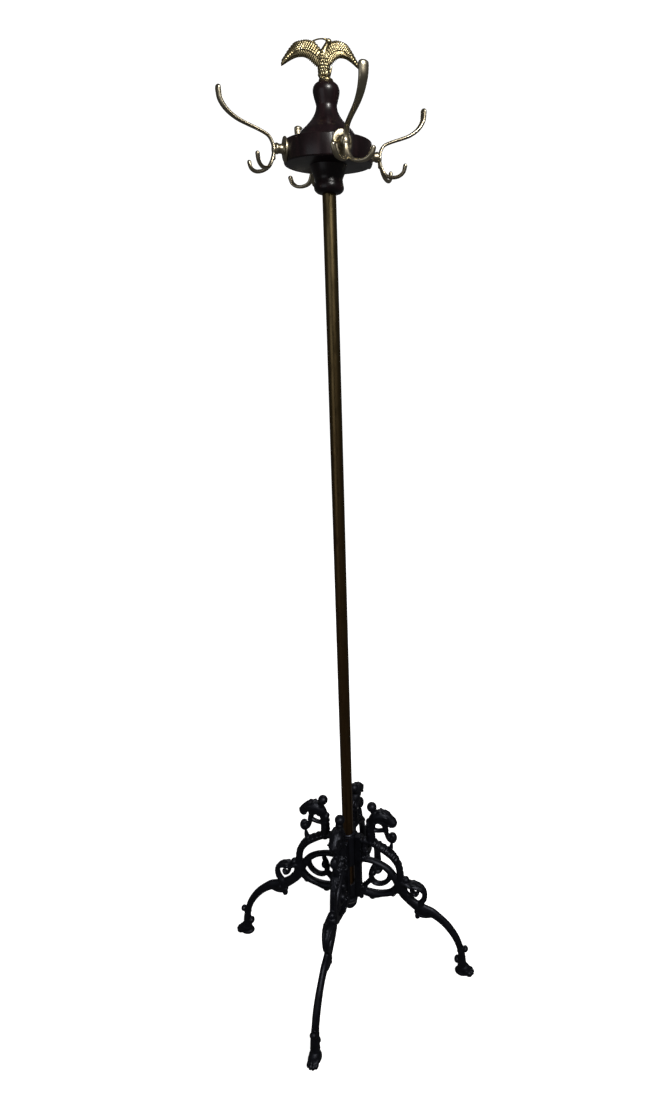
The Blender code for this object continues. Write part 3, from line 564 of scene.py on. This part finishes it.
def head_details(bm):
    """Brows, nostrils, cheek curls and mane locks of the beast's head."""
    for hand in (-1, 1):
        add_ball(bm, (83, hand * 10.0, 377), (8.5, 3.2, 2.8), (0, 0.28, 0))
        add_ball(bm, (81, hand * 10.8, 370.5), (2.6, 2.0, 2.2))
        add_ball(bm, (101, hand * 6.2, 363.5), (3.0, 2.6, 2.6))
        add_ball(bm, (92, hand * 8.2, 356), (6.0, 2.4, 2.2), (0, 0.5, 0))
        add_torus(bm, (60, hand * 8.8, 362), 5.2, 1.9, "Y", 24)
        for i in range(4):
            up = 352 - 12 * i
            add_ball(bm, (45.5 + 1.2 * i, hand * 5.2, up), (4.2, 3.6, 7.5), (hand * 0.25, 0.25, 0))
        for r, across, up in ((72, 6.5, 384.5), (82, 5.5, 383.0), (91, 4.5, 376.0), (99, 4.2, 368.5)):
            add_ball(bm, (r, hand * across, up), (4.2, 2.2, 2.0), (0, 0.45, 0))
    for r, up in ((77, 384.8), (87, 381.0), (96, 373.0), (104.5, 362.5)):
        add_ball(bm, (r, 0, up), (3.6, 2.2, 2.2), (0, 0.5, 0))
    for i in range(5):
        up = 356 - 11 * i
        add_ball(bm, (43.0 - 0.5 * (i % 2), 0, up), (3.0, 3.6, 6.5), (0, 0.35, 0))


def paw(bm):
    """A lion's paw: two ankle rings, an instep, a pad and four rounded toes."""
    for r, up, radius in ((245.6, 59, 7.6), (248.4, 27.5, 9.0)):
        add_torus(bm, (r, 0, up), radius, 1.3, "Z", 32)
    add_ball(bm, (252, 0, 14), (14, 11.8, 12.5))
    add_ball(bm, (250.5, 0, 5.5), (17.5, 13.0, 8))
    for y in (-8.0, -2.7, 2.7, 8.0):
        reach = 266 - 0.06 * y * y
        add_ball(bm, (reach - 5, y, 10.5), (9.0, 4.2, 6.8), (0, 0.38, 0))
        add_ball(bm, (reach + 3.2, y, 6.2), (7.2, 3.9, 6.2))


def add_block(bm, low, high):
    """An upright square bar between two corners, in millimetres."""
    corners = ((low[0], low[1]), (high[0], low[1]), (high[0], high[1]), (low[0], high[1]))
    add_rings(bm, [[Vector((x, y, z)) * MM for x, y in corners] for z in (low[2], high[2])])


def make_legs():
    bm = bmesh.new()
    for bar in [MAIN_BAR, SCROLL_BAR] + SIDE_BARS:
        add_stroke(bm, [(r, 0.0, z, depth, width) for r, z, depth, width in bar])
    for centre, radii in LEG_BALLS:
        add_ball(bm, centre, radii)
    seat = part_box("leg_right")[0].x / MM
    add_block(bm, (seat, -7, 160.4), (28, 7, 315.8))
    leaf_lobes(bm)
    rosettes(bm)
    head_details(bm)
    paw(bm)
    first = cast("leg_casting", bm, 0.00115, 3, floor=0.0)
    names = [f"iron_leg_{side}" for side in SIDES]
    nodes = [f"leg_{side}" for side in SIDES]
    legs = copies(first, names, [side_turn(i) for i in range(4)], nodes)
    iron = iron_material("satin_black_iron", 0.35)
    for leg in legs:
        dress(leg, iron)


def octagon_collar(name, node, low_z, high_z, rim_shape):
    """An eight-sided cast collar with eased edges, joined to a turned rim and bored for the tube."""
    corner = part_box("upper_hub")[1].x / math.cos(math.pi / 8)
    bm = bmesh.new()
    rings = []
    for z in (low_z, high_z):
        turns = [math.pi / 8 + i * math.pi / 4 for i in range(8)]
        rings.append([Vector((corner * math.cos(a), corner * math.sin(a), z)) for a in turns])
    add_rings(bm, rings)
    bmesh.ops.recalc_face_normals(bm, faces=bm.faces)
    collar = new_object(name, bm)
    ease = collar.modifiers.new("Ease", "BEVEL")
    ease.width = 0.0009
    ease.segments = 3
    rim = lathe("rim", rim_shape, steps=64)
    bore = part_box("pole_tube")[1].x + FIT
    socket = lathe("socket", [(0.0, 2.0), (bore, 2.0), (bore, BORE_FLOOR), (0.0, BORE_FLOOR)], steps=64)
    through = lathe("through", [(0.0, 1.0), (ROD_HOLE, 1.0), (ROD_HOLE, 0.0), (0.0, 0.0)], steps=32)
    for other, operation in ((rim, "UNION"), (socket, "DIFFERENCE"), (through, "DIFFERENCE")):
        step = collar.modifiers.new("Step", "BOOLEAN")
        step.operation = operation
        step.object = other
    bake(collar)
    for other in (rim, socket, through):
        bpy.data.objects.remove(other)
    smooth_shade(collar, 32)
    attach(collar, "root")
    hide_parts(node)
    return collar


def make_hubs():
    iron = iron_material("hub_black_iron", 0.22)
    low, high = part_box("upper_hub")
    high = high + Vector((0, 0, HUB_RIM_RISE))
    outer = high.x - 0.0002
    rim = [(0.0, high.z), (outer - 0.0022, high.z), (outer - 0.0006, high.z - 0.0012),
           (outer, high.z - 0.5 * HUB_LIP), (outer - 0.0008, high.z - HUB_LIP),
           (outer - 0.0016, high.z - 1.4 * HUB_LIP), (0.0, high.z - 1.4 * HUB_LIP)]
    collar = octagon_collar("hub_collar_upper", "upper_hub", low.z, high.z - HUB_LIP, rim)
    dress(collar, iron)

    low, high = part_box("lower_hub")
    flange = high.x
    seat = low.z + FLANGE_THICKNESS
    rim = [(0.0, seat), (flange - 0.0016, seat - 0.0001), (flange, seat - 0.003),
           (flange - 0.0008, seat - 0.006), (flange - 0.0040, low.z), (0.0, low.z)]
    collar = octagon_collar("hub_collar_lower", "lower_hub", seat - 0.005, high.z, rim)
    dress(collar, iron)

    low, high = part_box("base_cap_nut")
    radius, tall = high.x, high.z - low.z
    shape = [(ROD_HOLE, 1.0), (0.92 * radius, 1.0), (0.99 * radius, 0.96), (radius, 0.88),
             (0.985 * radius, 0.81), (0.93 * radius, 0.78), (0.96 * radius, 0.72), (0.955 * radius, 0.64),
             (0.90 * radius, 0.53), (0.80 * radius, 0.41), (0.66 * radius, 0.29), (0.48 * radius, 0.16),
             (0.30 * radius, 0.07), (0.14 * radius, 0.015), (0.0, 0.0)]
    nut = lathe("pendant_nut", [(r, low.z + tall * up) for r, up in shape])
    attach(nut, "root")
    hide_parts("base_cap_nut")
    dress(nut, iron)


# Tube and turned wood ----------------------------------------------------------------------------
def make_tube():
    low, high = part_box("pole_tube")
    outer, ease = high.x, 0.0003
    profile = [(outer - ease, high.z), (outer, high.z - ease)]
    rows = 40
    for i in range(1, rows):
        profile.append((outer, high.z - ease - (high.z - low.z - 2 * ease) * i / rows))
    profile += [(outer, low.z + ease), (outer - ease, low.z), (outer - TUBE_WALL, low.z),
                (outer - TUBE_WALL, high.z)]
    tube = lathe("brass_tube", profile, bored=True)
    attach(tube, "root")
    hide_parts("pole_tube")
    dress(tube, tube_material())


def outline(points, per_span=6):
    """A smooth profile through the given points."""
    return [(row[0], row[1]) for row in spline(points, per_span)]


def make_wood():
    wood = wood_material()
    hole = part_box("tie_rod")[1].x + FIT
    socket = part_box("pole_tube")[1].x + FIT

    low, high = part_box("ferrule")
    swell = FERRULE_SWELL
    shape = outline([(swell * 1.24, high.z), (swell * 1.10, high.z - 0.010), (swell * 0.955, high.z - 0.018),
                     (swell * 0.95, high.z - 0.023), (swell, high.z - 0.030),
                     (swell * 0.965, high.z - 0.0355), (swell * 0.80, high.z - 0.0395)])
    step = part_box("pole_tube")[1].z + GAP
    loop = shape + [(socket + 0.0030, low.z + 0.0001), (socket, low.z), (socket, step), (hole, step),
                    (hole, high.z)]
    ferrule = lathe("turned_ferrule", loop, bored=True)
    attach(ferrule, "root")
    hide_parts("ferrule")

    low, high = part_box("hook_drum")
    radius, ease = DRUM_RADIUS, 0.0028
    rim = [(radius - ease * (1 - math.sin(a)), high.z - ease * (1 - math.cos(a)))
           for a in (0.0, 0.4, 0.8, 1.2, math.pi / 2)]
    lower_rim = [(radius - ease * (1 - math.cos(a)), low.z + ease * (1 - math.sin(a)))
                 for a in (0.0, 0.4, 0.8, 1.2, math.pi / 2)]
    loop = rim + lower_rim + [(hole, low.z), (hole, high.z)]
    drum = lathe("hook_drum_turning", loop, steps=128, bored=True)
    cutters = []
    for index in range(4):
        bm = bmesh.new()
        bmesh.ops.create_cube(bm, size=1.0)
        cutter = new_object("flat", bm)
        cutter.scale = (0.02, 0.12, 0.08)
        turn = side_turn(index, HOOK_TURN)
        distance = FLAT_APOTHEM + 0.01
        cutter.location = (distance * math.cos(turn), distance * math.sin(turn), (low.z + high.z) / 2)
        cutter.rotation_euler = (0, 0, turn)
        cut = drum.modifiers.new("Flat", "BOOLEAN")
        cut.operation = "DIFFERENCE"
        cut.object = cutter
        cutters.append(cutter)
    bake(drum)
    for cutter in cutters:
        bpy.data.objects.remove(cutter)
    smooth_shade(drum, 38)
    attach(drum, "root")
    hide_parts("hook_drum")

    low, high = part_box("vase_turning")
    foot = high.x
    bulb, neck = BULB_RADIUS, NECK_RADIUS
    shape = outline([(0.0118, high.z), (bulb * 0.74, high.z - 0.0022), (bulb * 0.93, high.z - 0.0065),
                     (bulb, high.z - 0.0130), (bulb * 0.93, high.z - 0.021), (neck * 1.04, high.z - 0.029),
                     (neck, high.z - 0.034), (neck * 1.13, high.z - 0.042), (neck * 1.47, high.z - 0.051),
                     (neck * 1.98, high.z - 0.0600), (neck * 2.50, high.z - 0.0680),
                     (foot * 0.94, high.z - 0.0770), (foot, low.z + 0.0010)])
    loop = shape + [(foot - 0.0008, low.z), (hole, low.z), (hole, high.z)]
    vase = lathe("vase_turned", loop, bored=True)
    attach(vase, "root")
    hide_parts("vase_turning")
    for piece in (ferrule, drum, vase):
        dress(piece, wood)


# Hooks -------------------------------------------------------------------------------------------
def hook_bars(back, middle):
    """Bars of a hook, as (outward, across, up, half depth, half width), in millimetres from the axis."""
    stem = back + HOOK_STEM
    upper = [(stem, 0, middle - 14, 2.5, 4.4), (stem, 0, middle - 2, 2.8, 4.8),
             (stem + 1.5, 0, middle + 8, 2.6, 4.5), (stem + 8, 0, middle + 17.5, 2.5, 4.4),
             (stem + 22, 0, middle + 24, 2.5, 4.5), (stem + 38, 0, middle + 29.5, 2.6, 4.8),
             (stem + 54, 0, middle + 36, 2.9, 5.4), (stem + 68, 0, middle + 46, 3.4, 6.2),
             (stem + 76.2, 0, middle + 58, 4.0, 7.1), (stem + 78.0, 0, middle + 69, 4.3, 7.6),
             (stem + 78.0, 0, middle + 73, 4.3, 7.6)]
    bars = [upper]
    for hand in (-1, 1):
        bars.append([(stem, hand * 0.6, middle - 6, 2.5, 4.0),
                     (stem + 3.4, hand * 1.2, middle - 17, 2.6, 4.2),
                     (stem + 9.0, hand * 4.5, middle - 26.2, 2.7, 4.1),
                     (stem + 17, hand * 12, middle - 30.2, 2.8, 3.9),
                     (stem + 25, hand * 21, middle - 29.6, 2.9, 3.9),
                     (stem + 30.3, hand * 27.5, middle - 24.3, 3.1, 4.0),
                     (stem + 31.8, hand * 30.3, middle - 17, 3.4, 4.2),
                     (stem + 32, hand * 30.5, middle - 15.5, 3.4, 4.2)])
    return bars


def joined(name, shapes):
    """One closed mesh from overlapping closed ones."""
    parts = []
    for shape in shapes:
        bmesh.ops.recalc_face_normals(shape, faces=shape.faces)
        parts.append(new_object(name, shape))
    whole = parts[0]
    for other in parts[1:]:
        step = whole.modifiers.new("Join", "BOOLEAN")
        step.operation = "UNION"
        step.object = other
    bake(whole)
    for other in parts[1:]:
        bpy.data.objects.remove(other)
    return whole


def disc_stack(stations, middle, around):
    """A closed shape along X, through (place, half width, half height), in millimetres."""
    bm = bmesh.new()
    rings = []
    for place, wide, tall in stations:
        ring = []
        for i in range(around):
            a = 2 * math.pi * i / around
            ring.append(Vector((place, wide * math.cos(a), middle + tall * math.sin(a))) * MM)
        rings.append(ring)
    add_rings(bm, rings)
    return bm


def make_hooks():
    back = (FLAT_APOTHEM + GAP) / MM
    low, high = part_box("hook_drum")
    middle = (low.z + PLATE_SHARE * (high.z - low.z)) / MM
    plate = ((0.0, 0.985), (0.35, 1.0), (2.2, 1.0), (2.7, 0.985), (3.0, 0.95), (3.3, 0.88))
    neck = ((2.0, 10.0), (3.4, 8.8), (5.0, 7.5), (8.0, 6.9), (11.0, 7.0), (12.6, 7.9), (14.6, 8.1),
            (16.4, 7.4), (17.8, 5.6))
    plate = [(back + depth, PLATE_HALF_WIDTH * grow, PLATE_HALF_HEIGHT * grow) for depth, grow in plate]
    neck = [(back + depth, radius, radius) for depth, radius in neck]
    shapes = [disc_stack(plate, middle, 64), disc_stack(neck, middle, 40)]
    boss = bmesh.new()
    add_ball(boss, (back + HOOK_STEM, 0, middle - 2), (3.2, 5.6, 8.0), around=28, rows=16)
    shapes.append(boss)
    for bar in hook_bars(back, middle):
        arm = bmesh.new()
        add_stroke(arm, bar, per_span=6, around=22)
        shapes.append(arm)
    first = smooth_shade(joined("hook_casting", shapes), 40)
    # The first two colours are a lit tone and a painted shadow tone of the brass.
    brass = brass_material("antique_hook_brass", (0.58, 0.52, 0.38), (0.21, 0.165, 0.10), 0.0, 0.012, 22.0)
    hooks = copies(first, [f"brass_hook_{side}" for side in SIDES],
                   [side_turn(i, HOOK_TURN) for i in range(4)], [f"coat_hook_{side}" for side in SIDES])
    for hook in hooks:
        dress(hook, brass)


# Bird finial -------------------------------------------------------------------------------------
# Sections of a wing: out from the body, lower edge, upper edge and half thickness.
WING = [(-3, 14, 37, 6.0), (5, 17, 43.5, 6.0), (12.5, 22, 51.4, 5.6), (20.6, 28.8, 54, 5.0),
        (28.5, 32.4, 54.6, 4.4), (38, 32.8, 53.2, 3.8), (44.3, 31.4, 50.6, 3.3), (52, 28.4, 43.0, 3.0),
        (59.5, 24.8, 33.6, 2.6), (65.0, 22.6, 27.6, 1.8)]
WING_WAYS = ((-1, 1.0, 9.0), (1, 0.85, 20.0))        # hand, share of the span, sweep of the tip


def wing_stations(per_span, reach, sweep):
    """Sections with the wing's own span, and how far back each one is swept."""
    rows = []
    for out, low, high, thick in spline(WING, per_span):
        bow = sweep * (max(out, 0) / WING[-1][0]) ** 2
        rows.append((out * reach, low, high, bow, thick))
    return rows


def wing_rings(hand, reach, sweep, around=20):
    """Closed sections of one wing, from the body out to its tip."""
    rings = []
    for out, low, high, bow, thick in wing_stations(4, reach, sweep):
        ring = []
        for i in range(around):
            a = 2 * math.pi * i / around
            ring.append(Vector((hand * out, bow + thick * math.sin(a),
                                (low + high) / 2 + (high - low) / 2 * math.cos(a))) * MM)
        rings.append(ring)
    return rings


def wing_feathers(bm, hand, reach, sweep):
    """Rows of overlapping feathers on both faces: small scales above, long quills below."""
    stations = wing_stations(10, reach, sweep)
    for face in (-1, 1):
        for index in range(12, len(stations) - 5, 3):
            out, low, high, bow, thick = stations[index]
            lean = 0.30 + 0.010 * out
            length = (high - low) * 0.27
            centre = (hand * out, bow + face * thick * 0.80, low + (high - low) * 0.30)
            add_ball(bm, centre, (1.5 * reach, 1.2, length), (0, -hand * lean, 0), 10, 7)
        for row, share in enumerate((0.50, 0.62, 0.74, 0.86, 0.95)):
            for index in range(8 + row % 2 * 2, len(stations) - 6, 4):
                out, low, high, bow, thick = stations[index]
                bulge = math.sqrt(max(0.05, 1 - (2 * share - 1) ** 2))
                centre = (hand * out, bow + face * thick * bulge * 0.95, low + (high - low) * share)
                add_ball(bm, centre, (2.1 * reach, 1.0, 2.5), (face * 0.25, -hand * 0.5, 0), 8, 6)


def bird_body(bm):
    """Legs, feet, body, neck, head, beak, eyes, and the twig held in the beak."""
    for hand in (-1, 1):
        add_ball(bm, (0.5 + hand * 4.0, -3.5, 10), (3.4, 4.2, 8.0))
        for toe in (-1, 0, 1):
            add_ball(bm, (0.5 + hand * 4.0 + toe * 2.2, -8.0, 3.4), (1.2, 3.0, 1.6),
                     (0.2, 0, -toe * 0.35))
    body = [(0.5, 1.5, 4, 7.0, 8.0), (0, 1.0, 12, 7.2, 8.2), (0, 0, 22, 7.2, 8.0), (0, -1, 32, 6.2, 7.2),
            (1.6, -2, 40, 4.8, 5.2), (5.0, -2.6, 46.5, 3.9, 4.0), (8.4, -3, 51, 3.6, 3.8)]
    add_stroke(bm, body, per_span=4, around=20, wide=(1, 0, 0))
    add_ball(bm, (8.8, -3.4, 51.6), (4.9, 5.2, 4.5))
    beak = [(7.0, -6.6, 52.6, 2.3, 2.2), (3.6, -8.6, 53.2, 1.7, 1.6), (1.0, -9.0, 53.0, 1.1, 1.1)]
    twig = [(7.5, -7.2, 52.8, 1.0, 1.0), (2.0, -8.4, 53.6, 1.1, 1.1), (-6.0, -6.0, 54.2, 1.1, 1.1),
            (-14.5, -1.5, 53.4, 1.1, 1.1)]
    for bar in (beak, twig):
        add_stroke(bm, bar, per_span=3, around=12, wide=(1, 0, 0))
    for hand in (-1, 1):
        add_ball(bm, (8.0 + hand * 3.6, -6.0, 53.0), (0.9, 0.9, 0.9))


def breast_and_tail(bm):
    """Rows of breast feathers, the tail quills and the mass under them."""
    for row in range(8):
        up = 9 + row * 4.2
        wide = 7.8 if row < 6 else 7.8 - (row - 5) * 1.0
        for i in range(9):
            a = math.pi * (i + 0.5 * (row % 2)) / 8.5 + math.pi
            add_ball(bm, (wide * math.cos(a), 7.4 * math.sin(a) * wide / 7.8, up), (1.6, 1.6, 2.7),
                     (0, 0, a), 8, 6)
    for quill in range(-3, 4):
        add_ball(bm, (3.0 + quill * 2.3, 8.0, 13), (1.5, 1.7, 11.5), (0.10, quill * 0.10, 0), 10, 7)
    add_ball(bm, (3.0, 7.5, 16), (8.0, 3.2, 12))


def bird_seat(bm):
    """The turned foot under the bird."""
    rings = []
    for share, z in ((0.96, 0.0), (1.0, 0.6), (1.0, 2.2), (0.93, 3.2), (0.78, 4.2)):
        ring = []
        for i in range(40):
            a = 2 * math.pi * i / 40
            ring.append(Vector((BIRD_SHIFT + BIRD_SEAT * share * math.cos(a),
                                BIRD_SEAT * share * math.sin(a), z)) * MM)
        rings.append(ring)
    add_rings(bm, rings)


def make_bird():
    bm = bmesh.new()
    for hand, reach, sweep in WING_WAYS:
        add_rings(bm, wing_rings(hand, reach, sweep))
        wing_feathers(bm, hand, reach, sweep)
    bird_body(bm)
    breast_and_tail(bm)
    bird_seat(bm)
    bmesh.ops.translate(bm, vec=(-BIRD_SHIFT * MM, 0, 0), verts=bm.verts)
    bird = cast("brass_bird", bm, 0.00040, 1)
    bird.location = (0, 0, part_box("bird_finial")[0].z)
    bird.rotation_euler = (0, 0, BIRD_TURN)
    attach(bird, "root")
    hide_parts("bird_finial")
    # The first two colours are a lit tone and a painted shadow tone of the brass.
    brass = brass_material("antique_bird_brass", (0.46, 0.39, 0.22), (0.17, 0.130, 0.060), 1.0, 0.04, 70.0)
    dress(bird, brass)


# Screws ------------------------------------------------------------------------------------------
def domed_screw(name, node, turn, slot_wide, material):
    """A round-headed slotted screw whose axis points along the given turn."""
    low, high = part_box(node)
    centre = (low + high) / 2
    across = (high.z - low.z) / 2
    way = Vector((math.cos(turn), math.sin(turn), 0))
    sideways = Vector((-math.sin(turn), math.cos(turn), 0))
    offsets = [vert.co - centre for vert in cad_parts[node].data.vertices]
    reach = max(offset.dot(way) for offset in offsets)
    back = min(offset.dot(way) for offset in offsets)
    middle = sum(offset.dot(sideways) for offset in offsets) / len(offsets)
    tall = 0.42 * across
    shank = 0.48 * across
    shape = [(0.0, tall)]
    for i in range(1, 9):
        a = math.pi / 2 * i / 8
        shape.append((across * math.sin(a), tall * math.cos(a)))
    end = back - reach + tall
    shape += [(across * 0.97, -0.0001), (shank, -0.0001), (shank, end + 0.002), (0.0, end)]
    screw = lathe(name, shape, steps=40)
    bm = bmesh.new()
    bmesh.ops.create_cube(bm, size=1.0)
    cutter = new_object("slot", bm)
    cutter.scale = (slot_wide, across * 3, tall)
    cutter.location = (0, 0, tall * 1.08)
    cut = screw.modifiers.new("Slot", "BOOLEAN")
    cut.operation = "DIFFERENCE"
    cut.object = cutter
    bake(screw)
    bpy.data.objects.remove(cutter)
    smooth_shade(screw, 35)
    spin = Matrix.Rotation(turn, 4, "Z") @ Matrix.Rotation(math.pi / 2, 4, "Y")
    place = centre + way * (reach - tall) + sideways * middle
    screw.matrix_world = Matrix.Translation(place) @ spin
    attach(screw, "root")
    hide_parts(node)
    dress(screw, material)


def make_screws():
    dark = steel_material("blackened_screw", (0.060, 0.060, 0.066), (0.020, 0.018, 0.018))
    # The first two colours of the screw brass are a lit tone and a painted shadow tone.
    brass = brass_material("screw_brass_polished", (0.52, 0.44, 0.27), (0.27, 0.21, 0.11), 0.7, 0.04, 70.0)
    for index, side in enumerate(SIDES):
        for level in ("lower", "upper"):
            domed_screw(f"leg_screw_{side}_{level}", f"leg_bolt_{side}_{level}",
                        side_turn(index), 0.0012, dark)
        for hand in ("a", "b"):
            domed_screw(f"plate_screw_{side}_{hand}", f"hook_screw_{side}_{hand}",
                        side_turn(index, HOOK_TURN), 0.0008, brass)


def make_steel():
    """The rod and the washer keep their CAD mesh."""
    steel = steel_material("plain_steel", (0.45, 0.45, 0.47), (0.22, 0.20, 0.18))
    for node in ("tie_rod", "base_washer"):
        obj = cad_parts[node]
        obj.data.materials.clear()
        obj.data.materials.append(steel)


# Stage, light and camera -------------------------------------------------------------------------
CAMERA_AZIMUTH = math.radians(17.35)     # from the front leg towards the right one
CAMERA_DISTANCE = 1.2307
CAMERA_HEIGHT = 1.3273
CAMERA_YAW = math.radians(4.145)
CAMERA_PITCH = math.radians(16.95)
CAMERA_ROLL = math.radians(0.469)
LENS = 22.71
SHIFT_X = -0.0533
SHIFT_Y = -0.0044


def make_camera():
    data = bpy.data.cameras.new("camera")
    data.lens = LENS
    data.sensor_fit = "VERTICAL"
    data.sensor_height = 36.0
    data.shift_x = SHIFT_X
    data.shift_y = SHIFT_Y
    data.clip_end = 60.0
    camera = bpy.data.objects.new("camera", data)
    bpy.context.scene.collection.objects.link(camera)
    heading = CAMERA_YAW - CAMERA_AZIMUTH
    level = math.cos(CAMERA_PITCH)
    forward = Vector((math.sin(heading) * level, math.cos(heading) * level, -math.sin(CAMERA_PITCH)))
    right = forward.cross(Vector((0, 0, 1))).normalized()
    up = right.cross(forward)
    right, up = (math.cos(CAMERA_ROLL) * right - math.sin(CAMERA_ROLL) * up,
                 math.sin(CAMERA_ROLL) * right + math.cos(CAMERA_ROLL) * up)
    basis = Matrix((right, up, -forward)).transposed().to_4x4()
    place = Vector((CAMERA_DISTANCE * math.sin(CAMERA_AZIMUTH),
                    -CAMERA_DISTANCE * math.cos(CAMERA_AZIMUTH), CAMERA_HEIGHT))
    camera.matrix_world = Matrix.Translation(place) @ basis
    bpy.context.scene.camera = camera


def make_stage():
    """A pale sweep: a floor that curves up into a wall behind the object, on every side."""
    profile = [(0.0, 0.0)]
    radius, bend = 5.0, 1.6
    for i in range(13):
        a = math.pi / 2 * i / 12
        profile.append((radius + bend * math.sin(a), bend - bend * math.cos(a)))
    profile.append((radius + bend, 7.0))
    bm = bmesh.new()
    verts = [bm.verts.new((r, 0.0, z - 0.0004)) for r, z in profile]
    edges = [bm.edges.new(pair) for pair in zip(verts, verts[1:])]
    bmesh.ops.spin(bm, geom=verts + edges, cent=(0, 0, 0), axis=(0, 0, 1), dvec=(0, 0, 0),
                   angle=2 * math.pi, steps=96, use_merge=True)
    bmesh.ops.remove_doubles(bm, verts=bm.verts, dist=0.00001)
    bmesh.ops.recalc_face_normals(bm, faces=bm.faces)
    sweep = smooth_shade(new_object("studio_sweep", bm))
    sweep.data.materials.append(stage_material())
    sweep.visible_diffuse = False
    sweep.visible_glossy = False


def area_light(name, place, target, size, power, colour=(1, 1, 1)):
    data = bpy.data.lights.new(name, "AREA")
    data.shape = "RECTANGLE"
    data.size, data.size_y = size
    data.energy = power
    data.color = colour
    light = bpy.data.objects.new(name, data)
    bpy.context.scene.collection.objects.link(light)
    light.location = place
    light.rotation_euler = (Vector(target) - Vector(place)).to_track_quat("-Z", "Y").to_euler()
    light.visible_camera = False


def make_lights():
    world = bpy.data.worlds.new("studio")
    world.use_nodes = True
    background = world.node_tree.nodes["Background"]
    background.inputs["Color"].default_value = (1.0, 1.0, 1.0, 1.0)
    background.inputs["Strength"].default_value = 0.06
    bpy.context.scene.world = world
    bpy.context.scene.view_settings.view_transform = "Standard"
    area_light("key", (1.7, -2.1, 3.1), (0, 0, 1.3), (0.8, 0.8), 105, (1.0, 0.98, 0.95))
    area_light("fill", (-1.2, -3.2, 1.2), (0, 0, 0.9), (2.2, 2.2), 9, (0.92, 0.95, 1.0))
    area_light("back", (-0.6, 3.0, 2.6), (0, 0, 1.2), (2.0, 1.0), 22)


make_camera()
make_stage()
make_lights()
make_legs()
make_hubs()
make_tube()
make_wood()
make_hooks()
make_bird()
make_screws()
make_steel()
